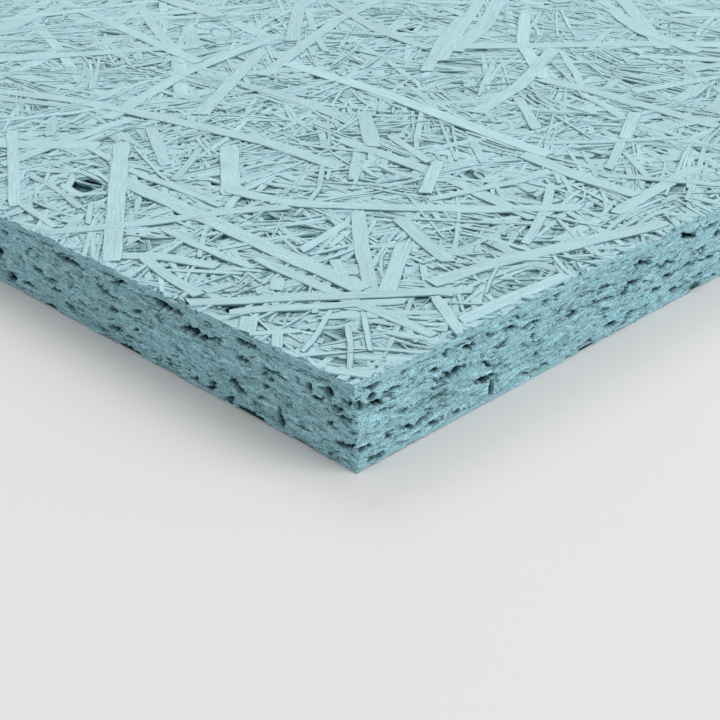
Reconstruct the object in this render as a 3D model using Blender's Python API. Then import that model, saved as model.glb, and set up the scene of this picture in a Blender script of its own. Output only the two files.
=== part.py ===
"""Wood wool board: a square panel of long wood strands, pressed flat, bound into one piece and sawn to size.

The board lies on the XY plane with its back down. The origin is at the middle of the back.
The near corner, where the hand-laid strands are measured from, is at +X, -Y.
All lengths are in metres.
"""

import math
import random

import bmesh
import bpy
from mathutils import Matrix, Vector

# Board
BOARD_LENGTH = 0.600
BOARD_WIDTH = 0.600
BOARD_THICKNESS = 0.025

# Strands on the two pressed faces
FRONT_RECESS = 0.0009
BACK_RECESS = 0.0007
STRAND_BITE = 0.0006
STRAND_SHOULDER = 0.0005
STRAND_DROP = 0.0003
STRAND_WIDTH_MIN = 0.0050
STRAND_WIDTH_MAX = 0.0085
STRAND_LENGTH_MIN = 0.085
STRAND_LENGTH_MAX = 0.195
STRAND_TURN_MIN = math.radians(9)
STRAND_TURN_MAX = math.radians(30)
MIDDLE_STRAND_TURN = math.radians(7.5)
STRAND_POINTS = 3
FRONT_ROWS = 10
BACK_ROWS = 5
SAW_ALLOWANCE = 0.0030

# Gaps in the mat beside the strands, on the pressed faces
FRONT_GAPS = 110
BACK_GAPS = 45
GAP_LENGTH_MIN = 0.005
GAP_LENGTH_MAX = 0.012
GAP_WIDTH_MIN = 0.0016
GAP_WIDTH_MAX = 0.0028
GAP_DEPTH = 0.0022
GAP_CLEARANCE = 0.0005
GAP_SPACING = 0.013
GAP_SIDES = 4
GAP_TRIES = 4000

# Voids in the sawn edges
EDGE_VOIDS = 20
EDGE_VOID_LENGTH_MIN = 0.003
EDGE_VOID_LENGTH_MAX = 0.012
EDGE_VOID_HEIGHT_MIN = 0.0009
EDGE_VOID_HEIGHT_MAX = 0.0024
EDGE_VOID_DEPTH = 0.0045
EDGE_VOID_MARGIN = 0.0018
EDGE_VOID_SIDES = 5

# Form of every gap and void
VOID_TAPER = 0.45
VOID_ROUGHNESS = 0.16
VOID_TILT = math.radians(14)

# Where the random draws of each part of the layout start
FRONT_SEED = 63
BACK_SEED = 124
FRONT_GAP_SEED = 45
BACK_GAP_SEED = 46
EDGE_VOID_SEED = 57
ROUGH_SEED = 48

PAINT_COLOUR = (0.42, 0.61, 0.65, 1.0)
PAINT_ROUGHNESS = 0.85

# Wide strands by the near corner, in millimetres: distances from the corner along the two sawn edges
# (first away along -X, then away along +Y), and the strand's width
NEAR_STRANDS = (
    (((78, 23), (95, 16), (108, 7)), 4.6),
    (((30, 40), (52, 70)), 5.0),
    (((34, 39), (60, 60), (80, 78)), 4.8),
    (((32, 68), (50, 75), (68, 83)), 5.6),
    (((5, 42), (5, 65), (3, 84)), 4.4),
    (((27, 53), (23, 75), (17, 95), (5, 133)), 6.0),
    (((4, 32), (76, 33)), 4.2),
    (((24, 43), (54, 5)), 3.8),
    (((34, 39), (70, 40), (130, 43), (168, 45)), 6.6),
    (((15, 59), (66, 2), (72, -4)), 4.6),
    (((74, 101), (92, 127)), 4.8),
    (((70, 99), (61, 127), (57, 145)), 3.6),
    (((20, 128), (23, 150), (25, 178)), 5.0),
    (((120, 60), (158, 90)), 6.6),
    (((30, 126), (50, 107), (70, 90), (98, 69), (125, 62)), 5.6),
    (((118, 122), (150, 148)), 6.0),
    (((104, 3), (142, 31), (190, 67)), 6.2),
    (((137, 2), (124, 22), (107, 54), (98, 66)), 4.6),
    (((202, 25), (206, 51), (210, 85)), 5.4),
    (((196, 84), (157, 62)), 4.6),
    (((75, 215), (59, 186)), 5.0),
    (((24, 145), (50, 147), (76, 151)), 6.0),
    (((223, 173), (157, 169), (114, 162), (68, 156)), 6.6),
    (((247, 181), (192, 103)), 6.0),
    (((300, 62), (245, 84), (218, 90), (154, 101), (112, 101)), 6.4),
    (((152, 264), (128, 212), (117, 174)), 6.2),
    (((128, 223), (98, 224), (42, 219)), 6.4),
    (((396, 174), (250, 149)), 6.4),
    (((320, 95), (297, 130), (272, 166)), 6.8),
    (((290, 260), (230, 235), (191, 228)), 5.6),
    (((233, 307), (202, 258), (175, 217)), 6.0),
    (((188, 343), (141, 309), (101, 296)), 7.0),
    (((383, 132), (370, 168), (356, 206)), 5.6),
)
NEAR_STRANDS_REACH = 0.190

# Gaps in the mat by the near corner, in millimetres: both ends, by the same two distances, and the width
NEAR_GAPS = (
    ((159, 30), (168, 35), 4.4),
    ((162, 38.4), (169, 38), 2.2),
    ((52, 6.5), (58, 8.5), 2.2),
    ((94.5, 57.5), (98.5, 56.5), 2.0),
    ((72, 124), (79, 126.5), 2.8),
)

# Voids by the near corner, in millimetres: distance from the corner along the edge, height of the middle
# (from the back, or from the front where it is below zero), length, height across, and tilt in degrees.
# The first list is for the edge that runs away along -X, the second for the one along +Y.
NEAR_VOIDS_X = (
    (1.5, -6.0, 5.0, 1.3, -8),
    (9.5, -6.0, 3.0, 2.0, 0),
    (4.5, 6.7, 6.5, 1.1, -10),
    (28.5, 3.1, 3.0, 4.0, 0),
    (40.5, 1.6, 9.0, 1.0, 0),
    (44.8, 6.5, 4.8, 1.8, 12),
    (40.5, -3.2, 8.0, 1.5, -6),
    (63.0, -8.2, 13.0, 1.7, -4),
    (64.0, 2.0, 5.6, 1.7, 14),
    (76.8, -3.8, 8.0, 2.1, 4),
    (98.0, -3.8, 7.5, 1.0, -16),
    (101.5, 4.8, 6.5, 1.2, -8),
    (123.0, -4.7, 15.0, 1.2, 3),
    (142.5, 11.5, 5.0, 1.0, 0),
    (159.5, 4.0, 5.0, 3.2, 0),
)
NEAR_VOIDS_Y = (
    (6.5, -2.5, 4.6, 1.2, -6),
    (6.5, 2.2, 4.8, 1.6, -6),
    (2.5, 6.5, 5.0, 0.9, -8),
    (21.5, 5.0, 9.0, 1.5, 8),
    (34.0, -10.8, 12.0, 1.6, 0),
    (29.0, 10.0, 6.0, 0.9, 4),
    (47.5, 7.8, 6.5, 1.6, -8),
    (50.0, 3.6, 2.0, 3.4, -20),
    (57.0, -5.7, 5.0, 0.9, -16),
    (68.0, 2.0, 9.5, 1.1, -8),
    (90.5, 1.7, 5.4, 1.3, 0),
    (101.8, 3.8, 5.0, 1.4, -12),
    (110.0, 12.9, 8.0, 1.4, 14),
    (115.5, -6.8, 7.4, 1.1, -10),
    (127.0, -10.9, 4.6, 1.2, 0),
    (138.5, -4.9, 7.2, 1.3, -18),
)
NEAR_VOIDS_REACH = 0.163

MM = 0.001


def clear_scene():
    """Remove every object that the file opens with."""
    for obj in list(bpy.data.objects):
        bpy.data.objects.remove(obj, do_unlink=True)


def new_collection(name):
    """Make a collection in the scene."""
    collection = bpy.data.collections.new(name)
    bpy.context.scene.collection.children.link(collection)
    return collection


def paint_material():
    """Matt pale blue-green paint, sprayed over the wood."""
    material = bpy.data.materials.new("pale_teal_paint")
    material.use_nodes = True
    shader = material.node_tree.nodes["Principled BSDF"]
    shader.inputs["Base Color"].default_value = PAINT_COLOUR
    shader.inputs["Roughness"].default_value = PAINT_ROUGHNESS
    shader.inputs["Metallic"].default_value = 0.0
    material.diffuse_color = PAINT_COLOUR
    return material


def object_from(bm, name, collection):
    """Turn a bmesh into an object in a collection, with its faces pointing out."""
    bmesh.ops.recalc_face_normals(bm, faces=bm.faces)
    mesh = bpy.data.meshes.new(name)
    bm.to_mesh(mesh)
    bm.free()
    obj = bpy.data.objects.new(name, mesh)
    collection.objects.link(obj)
    return obj


def make_cutter(obj):
    """Show an object as a wire guide that isn't part of the board."""
    obj.hide_render = True
    obj.display_type = 'WIRE'


def add_box(bm, low, high):
    """Add a box between two corners."""
    size = high - low
    place = Matrix.Translation((low + high) / 2) @ Matrix.Diagonal((*size, 1.0))
    bmesh.ops.create_cube(bm, size=1.0, matrix=place)


def from_near_corner(away_x, away_y):
    """A point on the board's plan, from its distances to the near corner along the two edges."""
    return Vector((BOARD_LENGTH / 2 - away_x, -BOARD_WIDTH / 2 + away_y))


def arc_path(middle, heading, length, turn):
    """Points along a gentle arc with its middle on a point."""
    radius = length / turn
    path = []
    for index in range(STRAND_POINTS):
        angle = turn * (index / (STRAND_POINTS - 1) - 0.5)
        local = Vector((radius * math.sin(angle), radius * (1 - math.cos(angle))))
        local.rotate(Matrix.Rotation(heading, 2))
        path.append(middle + local)
    return path


def across_path(path, index):
    """Unit vector across a path at one of its points, in the plan."""
    before = path[max(index - 1, 0)]
    after = path[min(index + 1, len(path) - 1)]
    along = (after - before).normalized()
    return Vector((-along.y, along.x))


def lay_strand(bm, path, width, foot, face):
    """Lay one flat strand along a path: a bar cut across, bent to the path, with its face drawn in."""
    verts = bmesh.ops.create_cube(bm, size=1.0)["verts"]
    bar = list(verts)
    bar += list({edge for vert in verts for edge in vert.link_edges})
    bar += list({side for vert in verts for side in vert.link_faces})
    spans = len(path) - 1
    for cut in range(1, spans):
        plane = Vector((cut / spans - 0.5, 0, 0))
        bar = bmesh.ops.bisect_plane(bm, geom=bar, plane_co=plane, plane_no=(1, 0, 0))["geom"]
    made = [item for item in bar if isinstance(item, bmesh.types.BMVert)]
    for vert in made:
        index = round((vert.co.x + 0.5) * spans)
        on_face = vert.co.z > 0
        half = width / 2 - (STRAND_SHOULDER if on_face else 0.0)
        plan = path[index] + across_path(path, index) * math.copysign(half, vert.co.y)
        vert.co = (plan.x, plan.y, face if on_face else foot)


def scattered(rng, rows):
    """Points spread evenly over the plan, each moved about inside its own cell."""
    for row in range(rows):
        for column in range(rows):
            x = ((column + rng.random()) / rows - 0.5) * BOARD_LENGTH
            y = ((row + rng.random()) / rows - 0.5) * BOARD_WIDTH
            yield Vector((x, y))


def near_corner(point):
    """Whether a point on the plan lies where the hand-laid strands are."""
    reach_x = BOARD_LENGTH / 2 - point.x
    reach_y = point.y + BOARD_WIDTH / 2
    return max(reach_x, reach_y) < NEAR_STRANDS_REACH


def random_strand(rng, middle):
    """A strand's path and width, at random round a point."""
    length = rng.uniform(STRAND_LENGTH_MIN, STRAND_LENGTH_MAX)
    turn = rng.choice((-1, 1)) * rng.uniform(STRAND_TURN_MIN, STRAND_TURN_MAX)
    path = arc_path(middle, rng.uniform(0, math.pi), length, turn)
    return path, rng.uniform(STRAND_WIDTH_MIN, STRAND_WIDTH_MAX)


def front_strands():
    """The strands of the front face: those by the near corner, then the rest."""
    rng = random.Random(FRONT_SEED)
    strands = []
    for points, width in NEAR_STRANDS:
        strands.append(([from_near_corner(x * MM, y * MM) for x, y in points], width * MM))
    for middle in scattered(rng, FRONT_ROWS):
        path, width = random_strand(rng, middle)
        if not any(near_corner(point) for point in path):
            strands.append((path, width))
    return strands


def back_strands():
    """The strands of the back face. The first runs through the middle of the board."""
    rng = random.Random(BACK_SEED)
    length = STRAND_LENGTH_MAX
    strands = [(arc_path(Vector((0, 0)), 0.0, length, MIDDLE_STRAND_TURN), STRAND_WIDTH_MAX)]
    for middle in scattered(rng, BACK_ROWS):
        strands.append(random_strand(rng, middle))
    return strands


def strand_object(front, back, collection):
    """All strands of both faces, every second one on the front flush with the press.

    Each has heights of its own, so none shares a plane with another before the press trims them.
    """
    bm = bmesh.new()
    mat_top = BOARD_THICKNESS - FRONT_RECESS
    for index, (path, width) in enumerate(front):
        share = (index + 1) / (len(front) + 1)
        flush = index % 2 == 0
        face = BOARD_THICKNESS + (STRAND_BITE * share if flush else -STRAND_DROP * share)
        lay_strand(bm, path, width, mat_top - STRAND_BITE * (1 + share) / 2, face)
    for index, (path, width) in enumerate(back):
        share = (index + 1) / (len(back) + 1)
        lay_strand(bm, path, width, BACK_RECESS + STRAND_BITE * (1 + share) / 2, -STRAND_BITE * share)
    return object_from(bm, "pressed_strands", collection)


def distance_to_path(point, path):
    """Shortest distance on the plan from a point to a path."""
    best = math.inf
    for start, end in zip(path, path[1:]):
        along = end - start
        share = (point - start).dot(along) / along.length_squared
        nearest = start + along * min(max(share, 0.0), 1.0)
        best = min(best, (point - nearest).length)
    return best


def add_void(bm, rng, sides, mouth, outward, along, length, width, depth):
    """Add one void: a rough, tapering pocket with its mouth on a face of the board."""
    made = bmesh.ops.create_cone(bm, cap_ends=True, segments=sides, radius1=VOID_TAPER / 2,
                                 radius2=0.5, depth=1.0)["verts"]
    rough = VOID_ROUGHNESS / 2
    for vert in made:
        vert.co.x += rng.uniform(-rough, rough)
        vert.co.y += rng.uniform(-rough, rough)
    across = outward.cross(along)
    turn = Matrix((along, across, outward)).transposed().to_4x4()
    reach = depth + STRAND_BITE
    size = Matrix.Diagonal((length, width, reach, 1.0))
    centre = mouth + outward * (STRAND_BITE - reach / 2)
    bmesh.ops.transform(bm, matrix=Matrix.Translation(centre) @ turn @ size, verts=made)


def beside_strand(rng, strands, width):
    """A place in the mat just beside a strand picked at random, and the way along that strand."""
    path, strand_width = rng.choice(strands)
    start = rng.randrange(len(path) - 1)
    along = (path[start + 1] - path[start]).normalized()
    across = Vector((-along.y, along.x)) * rng.choice((-1, 1))
    middle = path[start].lerp(path[start + 1], rng.random())
    return middle + across * (strand_width / 2 + width / 2 + GAP_CLEARANCE), along


def has_room(middle, along, length, width, strands, taken):
    """Whether a gap lies on the board and stays clear of every strand and of the gaps made before."""
    if abs(middle.x) > BOARD_LENGTH / 2 - GAP_SPACING or abs(middle.y) > BOARD_WIDTH / 2 - GAP_SPACING:
        return False
    if any((middle - other).length < GAP_SPACING for other in taken):
        return False
    probes = [middle - along * length / 2, middle, middle + along * length / 2]
    reach = width / 2 + GAP_CLEARANCE / 2
    return all(distance_to_path(probe, path) > strand_width / 2 + reach
               for probe in probes for path, strand_width in strands)


def near_gaps():
    """The gaps by the near corner: middle, way along, length and width."""
    gaps = []
    for start, end, width in NEAR_GAPS:
        start = from_near_corner(start[0] * MM, start[1] * MM)
        end = from_near_corner(end[0] * MM, end[1] * MM)
        gaps.append(((start + end) / 2, (end - start).normalized(), (end - start).length, width * MM))
    return gaps


def face_gaps(seed, gaps, count, strands):
    """Gaps of one pressed face: those given, then the rest at random beside the strands."""
    rng = random.Random(seed)
    taken = [gap[0] for gap in gaps]
    for _ in range(GAP_TRIES):
        if len(taken) == count:
            break
        length = rng.uniform(GAP_LENGTH_MIN, GAP_LENGTH_MAX)
        width = rng.uniform(GAP_WIDTH_MIN, GAP_WIDTH_MAX)
        middle, along = beside_strand(rng, strands, width)
        if has_room(middle, along, length, width, strands, taken):
            taken.append(middle)
            gaps.append((middle, along, length, width))
    return gaps


def edge_voids(rng, span, near_voids):
    """Voids of one sawn edge: distance from its corner, height, length, height across and tilt."""
    voids = []
    for away, height, length, tall, tilt in near_voids:
        base = 0.0 if height > 0 else BOARD_THICKNESS
        voids.append((away * MM, base + height * MM, length * MM, tall * MM, math.radians(tilt)))
    for index in range(EDGE_VOIDS):
        away = (index + rng.random()) / EDGE_VOIDS * span
        height = rng.uniform(EDGE_VOID_MARGIN, BOARD_THICKNESS - EDGE_VOID_MARGIN)
        length = rng.uniform(EDGE_VOID_LENGTH_MIN, EDGE_VOID_LENGTH_MAX)
        tall = rng.uniform(EDGE_VOID_HEIGHT_MIN, EDGE_VOID_HEIGHT_MAX)
        tilt = rng.uniform(-VOID_TILT, VOID_TILT)
        if not near_voids or away >= NEAR_VOIDS_REACH:
            voids.append((away, height, length, tall, tilt))
    return voids


def edge_frames():
    """The four sawn edges: a corner on each, the way along it, the way out of it, its length, its voids."""
    half_x = BOARD_LENGTH / 2
    half_y = BOARD_WIDTH / 2
    near = Vector((half_x, -half_y, 0))
    far = Vector((-half_x, half_y, 0))
    x, y = Vector((1, 0, 0)), Vector((0, 1, 0))
    rng = random.Random(EDGE_VOID_SEED)
    return (
        (near, -x, -y, edge_voids(rng, BOARD_LENGTH, NEAR_VOIDS_X)),
        (near, y, x, edge_voids(rng, BOARD_WIDTH, NEAR_VOIDS_Y)),
        (far, x, y, edge_voids(rng, BOARD_LENGTH, ())),
        (far, -y, -x, edge_voids(rng, BOARD_WIDTH, ())),
    )


def void_object(front, back, collection):
    """All gaps and voids, as one cutter."""
    rng = random.Random(ROUGH_SEED)
    up = Vector((0, 0, 1))
    faces = (
        (face_gaps(FRONT_GAP_SEED, near_gaps(), FRONT_GAPS, front), BOARD_THICKNESS - FRONT_RECESS, up),
        (face_gaps(BACK_GAP_SEED, [], BACK_GAPS, back), BACK_RECESS, -up),
    )
    bm = bmesh.new()
    for gaps, height, outward in faces:
        for middle, along, length, width in gaps:
            mouth = Vector((middle.x, middle.y, height))
            add_void(bm, rng, GAP_SIDES, mouth, outward, along.to_3d(), length, width, GAP_DEPTH)
    for corner, along, outward, voids in edge_frames():
        for away, height, length, tall, tilt in voids:
            run = along * math.cos(tilt) + up * math.sin(tilt)
            mouth = corner + along * away + up * height
            add_void(bm, rng, EDGE_VOID_SIDES, mouth, outward, run, length, tall, EDGE_VOID_DEPTH)
    return object_from(bm, "void_cutter", collection)


def mat_object(collection):
    """The mat between the two layers of strands that show, oversize, before the saw."""
    over = SAW_ALLOWANCE
    low = Vector((-BOARD_LENGTH / 2 - over, -BOARD_WIDTH / 2 - over, BACK_RECESS))
    high = Vector((BOARD_LENGTH / 2 + over, BOARD_WIDTH / 2 + over, BOARD_THICKNESS - FRONT_RECESS))
    bm = bmesh.new()
    add_box(bm, low, high)
    return object_from(bm, "wood_wool_board", collection)


def trim_object(collection):
    """The finished size: the saw's four cuts and the two planes of the press."""
    bm = bmesh.new()
    add_box(bm, Vector((-BOARD_LENGTH / 2, -BOARD_WIDTH / 2, 0)),
            Vector((BOARD_LENGTH / 2, BOARD_WIDTH / 2, BOARD_THICKNESS)))
    return object_from(bm, "saw_and_press", collection)


def add_boolean(obj, name, operation, tool):
    """Join, trim or cut an object with another."""
    modifier = obj.modifiers.new(name, 'BOOLEAN')
    modifier.operation = operation
    modifier.object = tool
    modifier.solver = 'EXACT'
    modifier.use_self = True


def build_board():
    """Model the board."""
    parts = new_collection("wood_wool_board")
    cutters = new_collection("cutters")
    front = front_strands()
    back = back_strands()
    strands = strand_object(front, back, cutters)
    voids = void_object(front, back, cutters)
    trim = trim_object(cutters)
    for tool in (strands, voids, trim):
        make_cutter(tool)
    board = mat_object(parts)
    board.data.materials.append(paint_material())
    add_boolean(board, "strands", 'UNION', strands)
    add_boolean(board, "trim", 'INTERSECT', trim)
    add_boolean(board, "voids", 'DIFFERENCE', voids)


def main():
    clear_scene()
    build_board()


main()
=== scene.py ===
"""Wood wool board: flat wood strands laid at random, pressed, bound, sawn square and painted pale teal.

The strands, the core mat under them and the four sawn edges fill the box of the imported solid.
Plan positions by the near corner are distances along the two sawn edges, in millimetres, and all the
modelling below is in millimetres too. Meshes are written in metres.
"""

import math
import random

import bpy
import numpy as np
from mathutils import Matrix, Vector


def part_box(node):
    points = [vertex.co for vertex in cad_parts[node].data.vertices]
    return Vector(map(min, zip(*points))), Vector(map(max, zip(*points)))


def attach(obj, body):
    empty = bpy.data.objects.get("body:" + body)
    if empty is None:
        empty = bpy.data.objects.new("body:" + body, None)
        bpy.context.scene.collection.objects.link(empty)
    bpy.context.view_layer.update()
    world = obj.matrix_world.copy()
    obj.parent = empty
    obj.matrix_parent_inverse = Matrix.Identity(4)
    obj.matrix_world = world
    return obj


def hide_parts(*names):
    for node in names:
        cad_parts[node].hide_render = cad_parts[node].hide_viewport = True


bl_info = {
    "name": "Wood wool board",
    "version": (1, 0, 0),
    "blender": (4, 5, 0),
    "location": "View3D > Sidebar > Wood wool",
    "description": "Models the strands, core mat and sawn edges of a painted wood wool board",
    "category": "Add Mesh",
}

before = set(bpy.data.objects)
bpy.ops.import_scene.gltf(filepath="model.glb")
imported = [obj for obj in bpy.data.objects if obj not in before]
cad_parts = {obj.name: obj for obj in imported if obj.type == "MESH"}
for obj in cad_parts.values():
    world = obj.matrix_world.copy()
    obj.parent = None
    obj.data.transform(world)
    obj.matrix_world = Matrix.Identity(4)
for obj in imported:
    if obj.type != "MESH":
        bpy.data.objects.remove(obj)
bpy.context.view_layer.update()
BOARD = "wood_wool_board"
BODY = "root"
LOW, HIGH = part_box(BOARD)

MM = 0.001
HALF_X = (HIGH[0] - LOW[0]) / 2 / MM
HALF_Y = (HIGH[1] - LOW[1]) / 2 / MM
THICKNESS = (HIGH[2] - LOW[2]) / MM
HALF = np.array((HALF_X, HALF_Y))
BAKE_MAP = "OFBake"

# Strands that show in the view over the near corner, from the lowest to the topmost: distances from the
# corner along the edge that runs to -X and along the one that runs to +Y, then the width, then whether the
# solid has it too
NEAR_STRANDS = (
    (((0, 24), (20, 11)), 2.2, False), (((0, 7), (12, 1)), 3.5, False),
    (((8, 6), (17, 15), (26, 22)), 2.0, False), (((10, 15), (27, 29)), 2.0, False),
    (((28, 0), (37, 8)), 3.2, False), (((40, 0), (48, 8)), 5.0, False), (((40, 0), (31, 11)), 2.6, False),
    (((68, 8), (67, 18)), 3.6, False), (((88, 10), (70, 24)), 2.5, False),
    (((78, 20), (68, 29)), 2.5, False), (((78, 23), (95, 16), (108, 7)), 4.6, True),
    (((70, 28), (100, 27), (115, 29)), 3.2, False), (((66, 6), (84, 8), (100, 11)), 4.0, False),
    (((54, 22), (61, 29)), 4.0, False), (((46, 40), (59, 48)), 3.4, False),
    (((60, 42), (59, 57)), 2.0, False), (((67, 45), (62, 57)), 2.2, False),
    (((70, 45), (72, 55), (75, 68)), 3.8, False), (((30, 40), (52, 70)), 5.0, True),
    (((34, 39), (60, 60), (80, 78)), 4.8, True), (((32, 68), (50, 75), (68, 83)), 5.6, True),
    (((5, 42), (5, 65), (3, 84)), 4.4, True), (((27, 53), (23, 75), (17, 95), (5, 133)), 6.0, True),
    (((4, 32), (76, 33)), 4.2, True), (((24, 43), (54, 5)), 3.8, True),
    (((34, 39), (70, 40), (130, 43), (168, 45)), 6.6, True), (((15, 59), (66, 2), (72, -4)), 4.6, True),
    (((0, 37), (10, 43), (20, 49)), 3.2, False), (((22, 3), (28, 14), (35, 25)), 2.0, False),
    (((169, 28.5), (162, 27.5), (154, 27)), 3.4, False),
    (((158, 26), (157.5, 31), (158.5, 38)), 2.8, False), (((176, 31), (170, 35), (161, 38)), 2.0, False),
    (((174, 44), (166, 42.5), (157, 40)), 2.2, False), (((134, 15), (150, 27)), 2.4, False),
    (((140, 7), (165, 10)), 3.0, False), (((110, 50), (118, 60), (119, 66)), 3.0, False),
    (((93, 63), (100, 80), (113, 93), (120, 100)), 2.2, False),
    (((26, 93), (31, 104), (38, 117), (50, 135)), 3.2, False), (((74, 101), (92, 127)), 4.8, True),
    (((70, 99), (61, 127), (57, 145)), 3.6, True), (((20, 128), (23, 150), (25, 178)), 5.0, True),
    (((45, 158), (52, 172), (58, 183)), 3.6, False), (((120, 60), (158, 90)), 6.6, True),
    (((115, 52), (150, 52), (165, 52)), 3.4, False),
    (((30, 126), (50, 107), (70, 90), (98, 69), (125, 62)), 5.6, True),
    (((118, 122), (150, 148)), 6.0, True), (((104, 3), (142, 31), (190, 67)), 6.2, True),
    (((137, 2), (124, 22), (107, 54), (98, 66)), 4.6, True), (((202, 25), (206, 51), (210, 85)), 5.4, True),
    (((231, 47), (197, 27), (163, 7)), 4.4, False), (((187, 27), (167, 25), (147, 21)), 2.8, False),
    (((245, 50), (235, 70), (228, 88)), 3.4, False), (((196, 84), (157, 62)), 4.6, True),
    (((144, 55), (153, 68), (163, 81)), 3.2, False), (((119, 200), (89, 175)), 4.2, False),
    (((75, 215), (59, 186)), 5.0, True), (((51, 175), (31, 161)), 2.6, False),
    (((124, 136), (93, 124)), 3.8, False), (((101, 153), (78, 135)), 3.4, False),
    (((78, 164), (61, 181), (44, 203)), 3.4, False), (((44, 154), (27, 162), (10, 170)), 3.6, False),
    (((24, 145), (50, 147), (76, 151)), 6.0, True),
    (((223, 173), (157, 169), (114, 162), (68, 156)), 6.6, True), (((247, 181), (192, 103)), 6.0, True),
    (((300, 62), (245, 84), (218, 90), (154, 101), (112, 101)), 6.4, True),
    (((152, 264), (128, 212), (117, 174)), 6.2, True), (((128, 223), (98, 224), (42, 219)), 6.4, True),
    (((76, 271), (83, 251), (90, 231)), 4.6, False), (((396, 174), (250, 149)), 6.4, True),
    (((320, 95), (297, 130), (272, 166)), 6.8, True), (((290, 260), (230, 235), (191, 228)), 5.6, True),
    (((233, 307), (202, 258), (175, 217)), 6.0, True), (((188, 343), (141, 309), (101, 296)), 7.0, True),
    (((383, 132), (370, 168), (356, 206)), 5.6, True),
)

# Within this distance of the near corner nothing at random lies over the strands listed above, and no gaps
# are open but those listed below
MIDDLE_REACH = 330.0

# Gaps between the strands by the near corner: both ends, by the same two distances, and the width.
# The solid has the first list too. The ground is open under the first few of it.
NEAR_GAPS = (
    ((159, 30), (168, 35), 4.4), ((162, 38.4), (169, 38), 2.2), ((52, 6.5), (58, 8.5), 2.2),
    ((94.5, 57.5), (98.5, 56.5), 2.0), ((72, 124), (79, 126.5), 2.8),
)
OPEN_GAPS = 4
NEAR_SMALL_GAPS = (
    ((10, 71), (12, 71), 1.6), ((59, 62), (61, 62), 1.6),
)

# Voids in the sawn edge that runs from the near corner to -X, then in the one that runs to +Y:
# distance from the corner, height, length, height across, tilt in degrees
NEAR_VOIDS_X = (
    (1.8, 19.0, 5.5, 1.4, -8), (9.6, 19.0, 3.2, 2.0, -10), (16.8, 18.0, 2.0, 1.9, 30),
    (6.8, 16.0, 4.0, 1.0, 0), (14.2, 15.9, 3.6, 0.6, -8), (4.6, 14.0, 5.0, 0.7, 0),
    (1.2, 11.0, 3.2, 0.6, 0), (4.4, 6.7, 6.6, 1.0, -12), (28.6, 3.1, 2.6, 4.2, 0),
    (21.2, 0.8, 4.2, 0.9, -6), (16.5, 0.3, 3.4, 0.7, 0), (8.5, 0.2, 2.2, 0.5, 0), (40.5, 1.0, 9.0, 0.9, 2),
    (44.8, 6.6, 4.6, 1.8, 16), (47.8, 7.7, 4.0, 0.8, -10), (38.6, 22.2, 4.6, 1.2, -22),
    (42.8, 21.8, 3.6, 1.8, 10), (32.0, 17.0, 6.0, 0.8, -8), (42.5, 16.2, 5.0, 0.8, 0),
    (52.7, 18.8, 3.4, 0.8, 0), (58.5, 17.0, 5.5, 0.9, -10), (63.5, 17.6, 6.0, 1.8, -6),
    (67.6, 16.5, 5.0, 0.8, -10), (76.5, 21.2, 8.0, 2.2, 6), (70.8, 23.6, 2.8, 1.8, -34),
    (64.0, 1.8, 5.6, 1.7, 16), (56.5, 4.0, 3.2, 0.9, -6), (75.0, 0.3, 4.2, 0.7, 0),
    (69.4, 21.0, 3.2, 0.8, 0), (57.8, 2.2, 4.6, 0.9, -24), (79.6, 15.6, 3.2, 0.9, 12),
    (31.8, 14.4, 2.0, 0.6, 0), (34.0, 11.5, 2.4, 0.7, -24), (49.0, 1.4, 2.0, 1.6, 60),
    (9.6, 10.6, 2.4, 0.9, -40), (97.6, 21.2, 8.0, 0.9, -16), (102.0, 22.4, 4.4, 0.8, 0),
    (89.5, 14.6, 5.4, 1.0, -10), (95.5, 11.8, 6.0, 0.7, 6), (101.4, 11.1, 3.6, 1.1, -14),
    (104.5, 16.0, 9.0, 0.9, 12), (101.8, 4.8, 6.6, 1.1, -6), (95.0, 4.5, 4.6, 0.7, -10),
    (98.0, 0.5, 6.6, 0.8, -4), (123.0, 20.2, 15.0, 1.1, 3), (126.0, 4.5, 4.2, 1.0, 8),
    (137.2, 1.0, 4.6, 1.1, -6), (142.5, 11.5, 5.0, 0.9, 0), (134.6, 10.4, 5.0, 0.7, -6),
    (132.8, 7.4, 5.0, 0.7, -8), (146.5, 22.5, 7.0, 0.8, -8), (136.0, 22.6, 6.4, 0.8, 8),
    (149.2, 4.3, 6.4, 0.9, 0), (154.6, 0.8, 3.4, 1.0, 0), (159.8, 4.0, 5.2, 3.0, -20),
    (159.6, 19.0, 3.4, 0.8, -12), (109.0, 2.3, 6.0, 0.6, 0), (91.2, 8.4, 2.6, 0.8, -20),
    (92.0, 0.4, 3.4, 0.7, 0), (82.0, 1.8, 3.6, 0.9, -20),
)
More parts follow.
